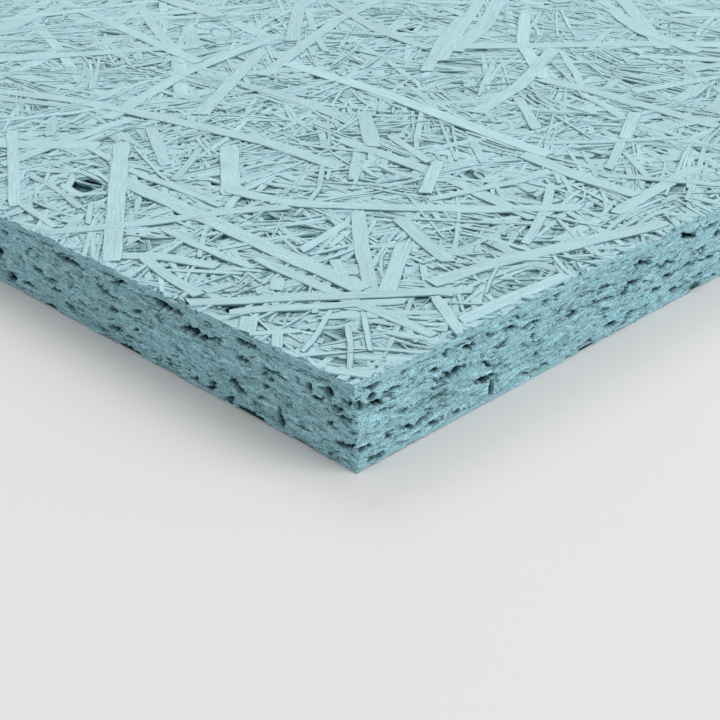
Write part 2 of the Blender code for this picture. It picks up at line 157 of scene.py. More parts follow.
NEAR_VOIDS_Y = (
    (1.2, 18.6, 3.4, 1.4, -20), (6.4, 22.5, 4.6, 1.3, -4), (5.8, 19.5, 2.6, 1.1, -16),
    (7.8, 17.2, 4.0, 1.0, -24), (13.0, 18.5, 6.0, 0.5, -4), (17.0, 11.0, 4.0, 0.6, 0),
    (2.4, 6.5, 5.4, 0.9, -10), (11.2, 6.0, 2.6, 0.9, 0), (6.6, 2.2, 4.8, 1.4, -4),
    (18.4, 5.6, 4.4, 1.0, -26), (23.0, 5.4, 6.4, 1.2, 16), (29.0, 10.1, 6.0, 0.7, 4),
    (34.4, 14.4, 12.0, 1.5, 0), (27.2, 2.8, 4.4, 0.7, -4), (18.8, 0.6, 2.2, 0.9, 0),
    (36.2, 1.5, 1.8, 2.2, 0), (38.6, 1.0, 1.6, 1.0, 0), (40.4, 19.8, 4.0, 0.9, -10),
    (47.4, 7.8, 6.6, 1.4, -8), (49.6, 3.6, 1.8, 4.0, -14), (52.0, 6.2, 3.2, 0.9, 40),
    (48.0, 11.6, 5.0, 0.9, -32), (52.4, 9.8, 4.2, 0.6, 12), (56.8, 19.2, 5.2, 0.8, -18),
    (65.2, 17.1, 8.0, 0.7, -2), (67.0, 2.1, 7.4, 0.8, -6), (71.8, 1.8, 3.4, 1.2, -26),
    (71.4, 22.5, 2.6, 0.7, 0), (76.4, 22.3, 3.6, 0.7, 4), (67.8, 6.8, 1.8, 0.8, 0),
    (66.2, 13.6, 1.2, 1.4, 0), (32.0, 21.6, 2.2, 1.4, 20), (28.0, 17.9, 4.0, 0.7, -14),
    (83.4, 13.7, 3.6, 1.0, 0), (96.0, 13.1, 11.0, 0.6, -6), (98.0, 16.8, 6.6, 0.9, -3),
    (114.6, 18.6, 5.6, 1.1, -4), (118.2, 17.6, 3.0, 0.8, -30), (107.4, 11.8, 3.2, 1.3, 40),
    (111.0, 13.8, 5.6, 1.1, -2), (90.5, 1.5, 5.4, 1.3, 4), (101.8, 3.8, 5.2, 1.3, -16),
    (111.0, 4.0, 4.6, 0.9, 4), (106.6, 1.2, 1.8, 1.0, -10), (127.0, 14.2, 4.8, 1.2, -2),
    (123.4, 7.4, 5.4, 0.7, -4), (129.2, 9.9, 4.4, 0.7, -8), (138.0, 10.0, 9.4, 0.7, 2),
    (146.6, 11.6, 3.8, 0.9, 40), (136.6, 21.0, 3.8, 1.1, -28), (140.0, 19.4, 4.2, 1.1, -14),
    (151.0, 19.3, 6.0, 0.9, 0), (154.4, 16.2, 2.4, 2.0, 0), (132.6, 4.1, 3.4, 0.9, -8),
    (145.0, 1.6, 3.8, 1.5, 8), (146.4, 4.2, 2.4, 1.0, -10), (152.0, 8.5, 2.4, 0.6, -10),
    (118.0, 0.6, 4.4, 0.8, -6), (85.0, 1.3, 4.4, 0.7, 0), (155.2, 1.2, 2.6, 1.1, -20),
)
NEAR_VOIDS_REACH = 163.0

# The step along a strand's line, the cell of a face's height map, and how far that map runs past the board
LINE_STEP = 1.0
CELL = 0.5
PILE_MARGIN = 30.0

# The solid's wide strands, gaps and voids beyond the near corner come from these values, in metres, and
# from the same random draws, so they lie in the same places here
NEAR_STRANDS_REACH = 0.190
SOLID_STRAND_WIDTHS = (0.0050, 0.0085)
SOLID_STRAND_LENGTHS = (0.085, 0.195)
SOLID_STRAND_TURNS = (math.radians(9), math.radians(30))
MIDDLE_STRAND_TURN = math.radians(7.5)
FRONT_ROWS = 10
BACK_ROWS = 5
FRONT_GAPS = 110
BACK_GAPS = 45
GAP_LENGTHS = (0.005, 0.012)
GAP_WIDTHS = (0.0016, 0.0028)
GAP_CLEARANCE = 0.0005
GAP_SPACING = 0.013
GAP_TRIES = 4000
EDGE_VOIDS = 20
EDGE_VOID_LENGTHS = (0.003, 0.012)
EDGE_VOID_HEIGHTS = (0.0009, 0.0024)
EDGE_VOID_MARGIN = 0.0018
EDGE_VOID_TILT = math.radians(14)
FRONT_SEED = 63
BACK_SEED = 124
FRONT_GAP_SEED = 45
BACK_GAP_SEED = 46
EDGE_VOID_SEED = 57


# Layout that the solid has too, in metres


def corner_point(away_x, away_y):
    """A point on the plan, from its distances to the near corner in millimetres."""
    return Vector((HALF_X - away_x, away_y - HALF_Y)) * MM


def arc_path(middle, heading, length, turn):
    """Three points along a gentle arc with its middle on a point."""
    radius = length / turn
    path = []
    for share in (-0.5, 0.0, 0.5):
        angle = turn * share
        local = Vector((radius * math.sin(angle), radius * (1 - math.cos(angle))))
        local.rotate(Matrix.Rotation(heading, 2))
        path.append(middle + local)
    return path


def scattered(rng, rows):
    """Points spread evenly over the plan, each moved about inside its own cell."""
    for row in range(rows):
        for column in range(rows):
            x = ((column + rng.random()) / rows - 0.5) * 2 * HALF_X * MM
            y = ((row + rng.random()) / rows - 0.5) * 2 * HALF_Y * MM
            yield Vector((x, y))


def by_near_corner(point):
    """Whether a point lies where the strands by the near corner are."""
    return max(HALF_X * MM - point.x, point.y + HALF_Y * MM) < NEAR_STRANDS_REACH


def solid_strand(rng, middle):
    """A strand's path and width, at random round a point."""
    length = rng.uniform(*SOLID_STRAND_LENGTHS)
    turn = rng.choice((-1, 1)) * rng.uniform(*SOLID_STRAND_TURNS)
    path = arc_path(middle, rng.uniform(0, math.pi), length, turn)
    return path, rng.uniform(*SOLID_STRAND_WIDTHS)


def solid_front_strands():
    """The solid's strands on the front face: those by the near corner, then the rest."""
    rng = random.Random(FRONT_SEED)
    near = [([corner_point(*point) for point in points], width * MM)
            for points, width, in_solid in NEAR_STRANDS if in_solid]
    rest = [solid_strand(rng, middle) for middle in scattered(rng, FRONT_ROWS)]
    return near, [strand for strand in rest if not any(by_near_corner(point) for point in strand[0])]


def solid_back_strands():
    """The solid's strands on the back face. The first runs through the middle of the board."""
    rng = random.Random(BACK_SEED)
    strands = [(arc_path(Vector((0, 0)), 0.0, SOLID_STRAND_LENGTHS[1], MIDDLE_STRAND_TURN),
                SOLID_STRAND_WIDTHS[1])]
    return strands + [solid_strand(rng, middle) for middle in scattered(rng, BACK_ROWS)]


def distance_to_path(point, path):
    """Shortest distance on the plan from a point to a path."""
    best = math.inf
    for start, end in zip(path, path[1:]):
        along = end - start
        share = (point - start).dot(along) / along.length_squared
        nearest = start + along * min(max(share, 0.0), 1.0)
        best = min(best, (point - nearest).length)
    return best


def beside_strand(rng, strands, width):
    """A place just beside a strand picked at random, and the way along that strand."""
    path, strand_width = rng.choice(strands)
    start = rng.randrange(len(path) - 1)
    along = (path[start + 1] - path[start]).normalized()
    across = Vector((-along.y, along.x)) * rng.choice((-1, 1))
    middle = path[start].lerp(path[start + 1], rng.random())
    return middle + across * (strand_width / 2 + width / 2 + GAP_CLEARANCE), along


def has_room(middle, along, length, width, strands, taken):
    """Whether a gap lies on the board and stays clear of every strand and of the gaps made before."""
    if abs(middle.x) > HALF_X * MM - GAP_SPACING or abs(middle.y) > HALF_Y * MM - GAP_SPACING:
        return False
    if any((middle - other).length < GAP_SPACING for other in taken):
        return False
    probes = [middle - along * length / 2, middle, middle + along * length / 2]
    reach = width / 2 + GAP_CLEARANCE / 2
    return all(distance_to_path(probe, path) > strand_width / 2 + reach
               for probe in probes for path, strand_width in strands)


def face_gaps(seed, given, count, strands):
    """Gaps of one face, in millimetres: those given, then the rest at random beside the strands."""
    rng = random.Random(seed)
    gaps = [(corner_point(*start), corner_point(*end), width * MM) for start, end, width in given]
    taken = [(start + end) / 2 for start, end, _ in gaps]
    for _ in range(GAP_TRIES):
        if len(taken) == count:
            break
        length = rng.uniform(*GAP_LENGTHS)
        width = rng.uniform(*GAP_WIDTHS)
        middle, along = beside_strand(rng, strands, width)
        if has_room(middle, along, length, width, strands, taken):
            taken.append(middle)
            gaps.append((middle - along * length / 2, middle + along * length / 2, width))
    return [(np.array(start) / MM, np.array(end) / MM, width / MM) for start, end, width in gaps]


# Where a void opens into a face's rim: how near the face it has to come, half the opening as a share of its
# length, how far it reaches in, how far in from the saw's cut ends are moved, and how far past the opening
NOTCH_BELOW = 0.9
NOTCH_SHARE = 0.55
NOTCH_DEPTH = 2.4
NOTCH_REACH = 1.0
NOTCH_SPREAD = 1.4


def board_edges():
    """The four sawn edges: a corner on each, the way along it, the way out of it and its length."""
    x, y = np.array((1.0, 0, 0)), np.array((0, 1.0, 0))
    near, far = np.array((HALF_X, -HALF_Y, 0)), np.array((-HALF_X, HALF_Y, 0))
    return ((near, -x, -y, 2 * HALF_X), (near, y, x, 2 * HALF_Y),
            (far, x, y, 2 * HALF_X), (far, -y, -x, 2 * HALF_Y))


def sawn_edge_voids():
    """The voids of the four sawn edges: those by the near corner, then the solid's random ones."""
    draws = random.Random(EDGE_VOID_SEED)
    given = (NEAR_VOIDS_X, NEAR_VOIDS_Y, (), ())
    return [voids + tuple(random_edge_voids(draws, length, bool(voids)))
            for voids, (_, _, _, length) in zip(given, board_edges())]


def rim_notches(side):
    """Where voids open into one face's rim: the place, the ways along and out, and half the opening."""
    mirror = np.array((-1.0 if side == "back" else 1.0, 1.0))
    notches = []
    for (corner, along, outward, _), voids in zip(board_edges(), sawn_edge_voids()):
        for away, height, length, tall, _ in voids:
            below_face = height if side == "back" else THICKNESS - height
            if below_face < tall / 2 + NOTCH_BELOW:
                place = (corner + along * away)[:2]
                flat = [vector * mirror for vector in (place, along[:2], outward[:2])]
                notches.append((*flat, length * NOTCH_SHARE))
    return notches


def draw_back(plan, notches):
    """Draw the ends at the rim back where a void opens into it."""
    for place, along, outward, half in notches:
        offset = plan - place
        run, out = offset @ along, offset @ outward
        at_rim = (out > -NOTCH_REACH) & (np.abs(run) < NOTCH_SPREAD * half)
        if at_rim.any():
            plan[at_rim] -= outward * (NOTCH_DEPTH * np.exp(-(run[at_rim] / half) ** 4))[:, None]
    return plan


def random_edge_voids(rng, span, by_corner):
    """The solid's random voids of one sawn edge, in millimetres and degrees, beyond those by the corner."""
    voids = []
    for index in range(EDGE_VOIDS):
        away = (index + rng.random()) / EDGE_VOIDS * span * MM
        height = rng.uniform(EDGE_VOID_MARGIN, THICKNESS * MM - EDGE_VOID_MARGIN)
        length = rng.uniform(*EDGE_VOID_LENGTHS)
        tall = rng.uniform(*EDGE_VOID_HEIGHTS)
        tilt = rng.uniform(-EDGE_VOID_TILT, EDGE_VOID_TILT)
        if not by_corner or away >= NEAR_VOIDS_REACH * MM:
            voids.append((away / MM, height / MM, length / MM, tall / MM, math.degrees(tilt)))
    return voids


class BoardSizes(bpy.types.PropertyGroup):
    """Sizes and counts of the strands and the sawn edges."""

    wide_strands: bpy.props.IntProperty(
        name="Wide strands", description="Single wide strands laid on the front face", default=470)
    wide_width: bpy.props.FloatProperty(
        name="Wide strand width", description="Greatest width of a strand", default=0.0072, unit='LENGTH')
    lowest_strands: bpy.props.IntProperty(
        name="Lowest strands", description="Broad strands that close the ground of each face", default=4200)
    under_strands: bpy.props.IntProperty(
        name="Lower strands", description="Strands of the layer under the front face", default=1700)
    bundles: bpy.props.IntProperty(
        name="Bundles", description="Bundles of thin strands on the front face", default=1950)
    near_bundles: bpy.props.IntProperty(
        name="Near bundles", description="Bundles of short thin strands by the near corner", default=900)
    slivers: bpy.props.IntProperty(
        name="Slivers", description="Short thin slivers between the strands by the near corner", default=260)
    back_share: bpy.props.FloatProperty(
        name="Back share", description="Strands on the back face as a share of the front face's",
        default=0.3, subtype='FACTOR')
    strand_thickness: bpy.props.FloatProperty(
        name="Strand thickness", description="Thickness of a wide strand", default=0.00052, unit='LENGTH')
    core_depth: bpy.props.FloatProperty(
        name="Core depth", description="How far the core mat lies below each face",
        default=0.0034, unit='LENGTH')
    edge_slab: bpy.props.FloatProperty(
        name="Edge depth", description="How far each sawn edge reaches into the board",
        default=0.007, unit='LENGTH')


class BoardColours(bpy.types.PropertyGroup):
    """Colours of the paint, of the painted shade and of the floor."""

    paint: bpy.props.FloatVectorProperty(
        name="Paint", description="Paint on the faces",
        size=4, subtype='COLOR', default=(0.46, 0.685, 0.73, 1))
    # Paint on the sawn edges: deeper than the faces' paint, and darker partly as painted shade for the small
    # shadows in the rough torn fibres
    edge_paint_and_shade: bpy.props.FloatVectorProperty(
        name="Edge paint", description="Paint on the sawn edges", size=4, subtype='COLOR',
        default=(0.300, 0.530, 0.588, 1))
    # Painted shade: the dark colour put deep between the strands, on their upright sides, in the edges' voids
    # and on the core mat
    painted_shade: bpy.props.FloatVectorProperty(
        name="Crevice", description="Paint deep between the strands", size=4, subtype='COLOR',
        default=(0.060, 0.175, 0.205, 1))
    floor: bpy.props.FloatVectorProperty(
        name="Floor", description="Floor that the board lies on", size=4, subtype='COLOR',
        default=(0.726, 0.718, 0.712, 1))


# Making and reading meshes

# On a straight strand of unit size: how high its top layer is, and where its sides, its foot, its top and
# its underside and ends are taken to be
TOP_LAYER = 0.45
BAR_SIDE = 0.499
BAR_FOOT = 0.3
BAR_TOP = 0.9
BAR_LEVEL = 0.01


def deselect_all():
    """Leave nothing selected, as an operator acts on all that is."""
    for obj in list(bpy.context.selected_objects):
        obj.select_set(False)


def edit_mode(active=True):
    """Go into or out of edit mode."""
    bpy.ops.object.mode_set(mode='EDIT' if active else 'OBJECT')


def select_where(obj, test):
    """Select the vertices whose position passes a test."""
    edit_mode(False)
    mesh = obj.data
    for element in (mesh.vertices, mesh.edges, mesh.polygons):
        element.foreach_set("select", np.zeros(len(element), dtype=bool))
    for vert in mesh.vertices:
        vert.select = test(vert.co)
    edit_mode()
    bpy.ops.mesh.select_mode(type='VERT')


def cut_across(spans, tip):
    """Cut the unit bar in edit mode into spans along its length, with short ones at the tips."""
    cuts = [cut / spans for cut in range(1, spans)] + ([tip, 1 - tip] if tip else [])
    for cut in cuts:
        bpy.ops.mesh.select_all(action='SELECT')
        bpy.ops.mesh.bisect(plane_co=(cut - 0.5, 0, 0), plane_no=(1, 0, 0))


def make_active(obj):
    """Select one object and nothing else, and make it the active one."""
    deselect_all()
    obj.select_set(True)
    bpy.context.view_layer.objects.active = obj


def coords_of(mesh):
    """Positions of a mesh's vertices, one row for each."""
    coords = np.empty(len(mesh.vertices) * 3, dtype=np.float32)
    mesh.vertices.foreach_get("co", coords)
    return coords.reshape(-1, 3)


def values_of(elements, key, kind=np.int32):
    """One value of each element of a mesh."""
    values = np.empty(len(elements), dtype=kind)
    elements.foreach_get(key, values)
    return values


def set_coords(mesh, points):
    """Move a mesh's vertices to points given in millimetres."""
    mesh.vertices.foreach_set("co", (points * MM).astype(np.float32).ravel())


def add_values(mesh, key, values):
    """Give each vertex of a mesh a value under a name."""
    attribute = mesh.attributes.new(key, 'FLOAT', 'POINT')
    attribute.data.foreach_set("value", values.astype(np.float32))


def flat_bar(spans, shoulder, rounded, tip=0.0):
    """Model one straight flat strand of unit length, width and thickness, its top edges drawn in."""
    deselect_all()
    bpy.ops.mesh.primitive_cube_add(size=1.0)
    bar = bpy.context.object
    edit_mode()
    select_where(bar, lambda co: co.z > 0)
    bpy.ops.transform.resize(value=(1.0, 1.0 - shoulder / (2 if rounded else 1), 1.0))
    if rounded:
        bpy.ops.mesh.extrude_region_move(TRANSFORM_OT_translate={"value": (0, 0, TOP_LAYER)})
        bpy.ops.transform.resize(value=(1.0, 1.0 - shoulder, 1.0))
    cut_across(spans, tip)
    edit_mode(False)
    return take_master(bar)


def ridge_bar(spans):
    """Model one straight sliver of unit length, width and thickness, with a ridge along it."""
    deselect_all()
    bpy.ops.mesh.primitive_cylinder_add(vertices=3, radius=0.5, depth=1.0, rotation=(0, math.pi / 2, 0))
    bar = bpy.context.object
    bpy.ops.object.transform_apply(location=False, rotation=True, scale=True)
    edit_mode()
    cut_across(spans, 0.0)
    edit_mode(False)
    return take_master(bar)


class Master:
    """The shape of one straight strand, ready to be laid along many lines."""

    def __init__(self, mesh):
        coords = coords_of(mesh).astype(float)
        low, high = coords.min(0), coords.max(0)
        coords = (coords - low) / (high - low)
        self.along = coords[:, 0]
        self.side = coords[:, 1] - 0.5
        self.up = coords[:, 2]
        self.loops = values_of(mesh.loops, "vertex_index")
        self.starts = values_of(mesh.polygons, "loop_start")
        self.totals = values_of(mesh.polygons, "loop_total")
        self.triangles = int((self.totals - 2).sum())
        self.is_shoulder = (np.abs(self.side) < BAR_SIDE) & (self.up > BAR_FOOT)
        self.unroll(mesh)

    def unroll(self, mesh):
        """Where each face corner lies on the strand's own strip of the bake map.

        The skin is slit along the underside and laid flat, with the two ends folded out. A corner's place
        along the strip is (share of length, number of thicknesses), and across it is (widths, thicknesses).
        """
        angle = np.round(np.arctan2(self.up - 0.5, self.side), 4)
        corners = []
        for value in sorted(set(angle[self.along < BAR_LEVEL]), reverse=True):
            index = int(np.flatnonzero((self.along < BAR_LEVEL) & (angle == value))[0])
            corners.append((value, self.side[index], self.up[index]))
        first = min(range(len(corners)), key=lambda k: (corners[k][2] > BAR_LEVEL, corners[k][1]))
        corners = corners[first:] + corners[:first]
        order = {corner[0]: k for k, corner in enumerate(corners)}
        run = [(0.0, 0.0)]
        for (_, side, up), (_, next_side, next_up) in zip(corners, corners[1:] + corners[:1]):
            run.append((run[-1][0] + abs(next_side - side), run[-1][1] + abs(next_up - up)))
        self.strip = run[-1]
        top = max(range(len(corners)), key=lambda k: (corners[k][2] > BAR_TOP, -corners[k][1]))
        unrolled = np.zeros((len(self.loops), 4))
        for start, total in zip(self.starts, self.totals):
            verts = self.loops[start:start + total]
            ranks = [order[angle[v]] for v in verts]
            is_end = np.ptp(self.along[verts]) < 1e-4
            for corner, vert, rank in zip(range(start, start + total), verts, ranks):
                if is_end:
                    far = self.along[vert] > 0.5
                    out = 1.0 - self.up[vert]
                    widths = run[top][0] + self.side[vert] - corners[top][1]
                    unrolled[corner] = (float(far), out if far else -out, widths, run[top][1])
                else:
                    wraps = rank == 0 and max(ranks) == len(corners) - 1
                    place = run[-1] if wraps else run[rank]
                    unrolled[corner] = (self.along[vert], 0.0, place[0], place[1])
        self.unrolled = unrolled


def take_master(obj):
    """Read the modelled bar as a master, and remove it from the scene."""
    master = Master(obj.data)
    mesh = obj.data
    bpy.data.objects.remove(obj, do_unlink=True)
    bpy.data.meshes.remove(mesh)
    return master


# Lines and heights

# Lines of strands: the fewest steps in one through given points and in one at random, how many steps a bend
# is rounded over at most, and how far a random line sways, in radians, with how many waves
FEWEST_HAND_STEPS = 6
FEWEST_STEPS = 5
ROUNDING_STEPS = 12
SWAY = 0.07
SWAY_WAVES = (0.8, 2.2)

# Laying: the share of a strand's half width that covers others, how much the highest and the mean of what
# is under it hold it up, and how far it stays stiff at least and at most
COVER_SHARE = 0.45
HIGHEST_SHARE = 0.55
MEAN_SHARE = 0.45
STIFFNESS = (1.5, 6.0)

# Pressing: how far round the highest strands count and how far that is smoothed, from how far below them a
# strand stays low, how softly, how deep at most, and how much of it is kept at two distances from the
# corner
PRESS_REACH = 3
PRESS_SMOOTHING = 5
PRESS_SLACK = 0.12
PRESS_SOFTNESS = 0.16
PRESS_DEEPEST = 2.2
PRESS_DISTANCES = (150.0, 420.0)
PRESS_SHARES = (1.0, 0.75)

# Covered strands: the depth of a cell that nothing covers, how near the top counts as open, the share that
# has to lie open, and how deep a hole and how many of its cells keep the strand that closes it
NOTHING_LAID = 10.0
TOUCHING = 0.03
MIN_VISIBLE = 0.14
HOLE_DEPTH = 0.6
HOLE_CELLS = 9


def smooth(values, sigma):
    """Smooth a row of values with a bell curve, its ends held."""
    reach = max(int(3 * sigma), 1)
    kernel = np.exp(-0.5 * (np.arange(-reach, reach + 1) / max(sigma, 1e-6)) ** 2)
    padded = np.pad(values, reach, mode="edge")
    return np.convolve(padded, kernel / kernel.sum(), mode="valid")


def smooth_field(field, sigma):
    """Smooth a field of heights with a bell curve."""
    rows = np.fft.fftfreq(field.shape[0])[:, None]
    columns = np.fft.rfftfreq(field.shape[1])[None, :]
    bell = np.exp(-2 * (math.pi * sigma) ** 2 * (rows ** 2 + columns ** 2))
    return np.fft.irfft2(np.fft.rfft2(field) * bell, s=field.shape)


def widen_field(field, reach):
    """Give each cell the highest value within a square around it."""
    for axis in (0, 1):
        widened = field.copy()
        for shift in range(1, reach + 1):
            for way in (-shift, shift):
                widened = np.maximum(widened, np.roll(field, way, axis=axis))
        field = widened
    return field


def line_through(points):
    """A smooth line with even steps through given points."""
    points = np.array(points, dtype=float)
    run = np.concatenate(((0.0,), np.cumsum(np.linalg.norm(np.diff(points, axis=0), axis=1))))
    steps = np.linspace(0, run[-1], max(int(run[-1] / LINE_STEP), FEWEST_HAND_STEPS) + 1)
    line = np.stack([np.interp(steps, run, points[:, axis]) for axis in (0, 1)], axis=1)
    reach = min(len(line) // 4, ROUNDING_STEPS)
    if len(points) > 2 and reach > 1:
        ends = (2 * line[0] - line[reach:0:-1], line, 2 * line[-1] - line[-2:-reach - 2:-1])
        padded = np.concatenate(ends)
        kernel = np.hanning(2 * reach + 1)
        kernel /= kernel.sum()
        line = np.stack([np.convolve(padded[:, axis], kernel, mode="valid") for axis in (0, 1)], axis=1)
    return line


def from_near_corner(points):
    """Plan positions from distances to the near corner along the two edges."""
    points = np.atleast_2d(np.array(points, dtype=float))
    return np.stack((HALF_X - points[:, 0], points[:, 1] - HALF_Y), axis=1)


def near_distance(points):
    """The greater of the two distances of plan positions from the near corner."""
    return np.maximum(HALF_X - points[..., 0], points[..., 1] + HALF_Y)


def random_line(rng, middle, length, heading, turn):
    """A line of a given length through a point, bent and swaying a little."""
    count = max(int(length / LINE_STEP), FEWEST_STEPS) + 1
    share = np.linspace(-0.5, 0.5, count)
    size = rng.uniform(0.0, SWAY)
    sway = size * np.sin(2 * math.pi * (share * rng.uniform(*SWAY_WAVES) + rng.random()))
    course = heading + turn * share + sway
    step = length / (count - 1)
    line = np.stack((np.cos(course), np.sin(course)), axis=1).cumsum(axis=0) * step
    return line - line[count // 2] + middle


class Strand:
    """One strand: its line in the plan, its width, thickness and roll, and the height of its top along it."""

    def __init__(self, line, width, thickness, master, roll=0.0, twist=0.0):
        self.line = line
        self.width = width
        self.thickness = thickness
        self.master = master
        self.roll = roll
        self.twist = twist
        along = np.gradient(line, axis=0)
        along /= np.linalg.norm(along, axis=1)[:, None]
        self.across = np.stack((-along[:, 1], along[:, 0]), axis=1)
        self.top = None

    def cells(self, pile):
        """The pile's cells under the strand, one row for each step along it."""
        count = max(int(math.ceil(self.width / CELL)), 1) + 1
        offsets = np.linspace(-COVER_SHARE, COVER_SHARE, count) * self.width
        points = self.line[:, None, :] + self.across[:, None, :] * offsets[None, :, None]
        return pile.index(points)


class Pile:
    """Heights of the strands laid so far, over the plan of the board."""

    def __init__(self):
        self.low = -HALF - PILE_MARGIN
        self.shape = tuple(((2 * (HALF + PILE_MARGIN)) / CELL).astype(int) + 1)
        self.height = np.zeros(self.shape)

    def index(self, points):
        """Cells that hold some points."""
        cells = ((points - self.low) / CELL).astype(int)
        return (np.clip(cells[..., 0], 0, self.shape[0] - 1), np.clip(cells[..., 1], 0, self.shape[1] - 1))

    def cover(self, strand):
        """Raise the cells under a strand to its top."""
        cells = strand.cells(self)
        self.height[cells] = np.maximum(self.height[cells], strand.top[:, None])

    def lay(self, strand):
        """Lay a strand on the pile: it bridges the hollows under it as far as it is stiff."""
        cells = strand.cells(self)
        under = self.height[cells]
        rests_on = HIGHEST_SHARE * under.max(axis=1) + MEAN_SHARE * under.mean(axis=1)
        stiffness = min(STIFFNESS[0] + strand.width, STIFFNESS[1])
        held = smooth(np.maximum(rests_on, smooth(rests_on, stiffness)), stiffness / 2)
        strand.top = held + strand.thickness
        self.height[cells] = np.maximum(under, strand.top[:, None])


def press(pile, strands):
    """Press the pile flat: what stands highest comes to the face, and the rest stays a little below it."""
    cover = smooth_field(widen_field(pile.height, int(PRESS_REACH / CELL)), PRESS_SMOOTHING / CELL)
    for strand in strands:
        below = cover[pile.index(strand.line)] - strand.top
        keep = np.interp(near_distance(strand.line), PRESS_DISTANCES, PRESS_SHARES)
        sunk = keep * PRESS_SOFTNESS * np.logaddexp(0.0, (below - PRESS_SLACK) / PRESS_SOFTNESS)
        strand.top = -PRESS_DEEPEST * (1 - np.exp(-sunk / PRESS_DEEPEST))


def open_cells(pile, strand):
    """Which of the cells under a strand have nothing over it."""
    return strand.top[:, None] >= pile.height[strand.cells(pile)] - TOUCHING


def heights_of(strands):
    """The heights of some pressed strands."""
    pile = Pile()
    pile.height -= NOTHING_LAID
    for strand in strands:
        pile.cover(strand)
    return pile


def keep_visible(strands):
    """Leave out the strands that others cover, unless that opens a hole, and return the heights too."""
    pile = heights_of(strands)
    kept, covered = [], []
    for strand in strands:
        (kept if float(open_cells(pile, strand).mean()) > MIN_VISIBLE else covered).append(strand)
    left = heights_of(kept)
    for strand in reversed(covered):
        cells = strand.cells(pile)
        opened = pile.height[cells] - left.height[cells] > HOLE_DEPTH
        if (opened & open_cells(pile, strand)).sum() >= HOLE_CELLS:
            kept.append(strand)
            left.cover(strand)
    return kept, pile


# Strands of a face

# How far a strand stays off a gap, as a share of its width, near the face and in the ground, how far it may
# be moved aside for that, and how far past its ends gaps are looked for
GAP_HOLD = 0.15
DEEP_GAP_HOLD = 0.40
GAP_MOVES = (0.0, 2.2, -2.2, 4.4, -4.4)
GAP_MARGIN = 20.0

# Loose strands: how far past the board their middles may lie, their lengths, the spread of their bend,
# their widths, their thickness as a share of a wide strand's, and the spread of their roll in degrees
LOOSE_KINDS = {
    "lowest": dict(margin=30, lengths=(50, 120), bend=0.0, widths=(4.5, 9.0), thickness=0.8, roll=1.0),
    "lower": dict(margin=20, lengths=(35, 85), bend=0.15, widths=(1.8, 4.4), thickness=0.9, roll=4.0),
    "sliver": dict(margin=4, lengths=(6, 18), bend=0.4, widths=(0.5, 1.1), thickness=0.8, roll=0.0),
}

# Slivers thin out beyond a first distance from the near corner, by a second one
SLIVER_DISTANCES = (40, 110)

# Wide strands: as above, with the least width and a power that makes most of them narrow
WIDE_MARGIN = 60
WIDE_LENGTHS = (50, 220)
WIDE_BEND = 0.2
WIDE_LEAST = 2.8
WIDE_POWER = 1.2
WIDE_THICKNESSES = (0.8, 1.15)
WIDE_ROLL = 1.2

# Bundles: as above, with how many strands one has, the usual width and its spread, how far each strand is
# moved along and turned, and the room between two. Near ones lie within a stretch along both edges.
BUNDLE_KINDS = {
    "near": dict(numbers=(2, 7), width=1.9, lengths=(12, 40)),
    "other": dict(numbers=(1, 7), width=1.5, lengths=(16, 62)),
}
BUNDLE_MARGIN = 24
BUNDLE_BEND = 0.25
BUNDLE_WIDTH_SPREAD = 0.30
BUNDLE_SHIFT = 6
BUNDLE_TURN = 0.06
BUNDLE_ROOM = (-0.25, 0.35)
BUNDLE_THICKNESSES = (0.6, 1.0)
BUNDLE_ROLL = 6.0
NEAR_BUNDLES = (-20.0, 190.0)
NEAR_DETAIL = 230.0

# From this width on a listed strand has the finest shape
LEAD_WIDTH = 2.5

# The share of the bundles that are laid among the wide strands, and the back face's shares of its strands
FILLING_SHARE = 0.85
BACK_LOWEST_SHARE = 0.8
BACK_WIDE_SHARE = 0.75


def clear_of_gaps(strand, gaps, hold):
    """Whether a strand stays off every gap, by a share of its width."""
    starts, ends, widths = gaps
    middle = strand.line[len(strand.line) // 2]
    reach = len(strand.line) * LINE_STEP / 2 + GAP_MARGIN
    close = np.linalg.norm((starts + ends) / 2 - middle, axis=1) < reach
    if not close.any():
        return True
    start, along = starts[close], (ends - starts)[close]
    offset = strand.line[:, None, :] - start[None, :, :]
    share = np.clip((offset * along).sum(axis=2) / (along ** 2).sum(axis=1), 0, 1)
    away = np.linalg.norm(offset - along[None] * share[..., None], axis=2)
    return bool((away > widths[close] / 2 + strand.width * hold).all())


def beside_gaps(strands, gaps, hold=GAP_HOLD):
    """The strands, each moved aside where it would cross a gap, or left out where that isn't enough."""
    kept = []
    for strand in strands:
        line, across = strand.line, strand.across[len(strand.line) // 2]
        for move in GAP_MOVES:
            strand.line = line + across * move
            if clear_of_gaps(strand, gaps, hold):
                kept.append(strand)
                break
    return kept


def gap_arrays(gaps):
    """Starts, ends and widths of some gaps."""
    return tuple(np.array(values) for values in zip(*gaps))


def random_strand(rng, middle, length, heading, turn, width, thickness, master, roll):
    """One strand at random, rolled a little about its own line."""
    line = random_line(rng, middle, length, heading, turn)
    tilt = math.radians(rng.normal(0, roll))
    return Strand(line, width, thickness, master, tilt, math.radians(rng.normal(0, roll)))


def random_middle(rng, margin):
    """A place at random on the plan, or a little past its edge."""
    return rng.uniform(-1, 1, 2) * (HALF + margin)


def loose_strand(rng, middle, kind, masters, sizes):
    """One strand at random within the ranges of its kind."""
    ranges = LOOSE_KINDS[kind]
    length, heading = rng.uniform(*ranges["lengths"]), rng.uniform(0, math.pi)
    turn = rng.normal(0, ranges["bend"]) if ranges["bend"] else 0.0
    width = rng.uniform(*ranges["widths"])
    thickness = sizes.strand_thickness / MM * ranges["thickness"]
    return random_strand(rng, middle, length, heading, turn, width, thickness, masters[kind], ranges["roll"])


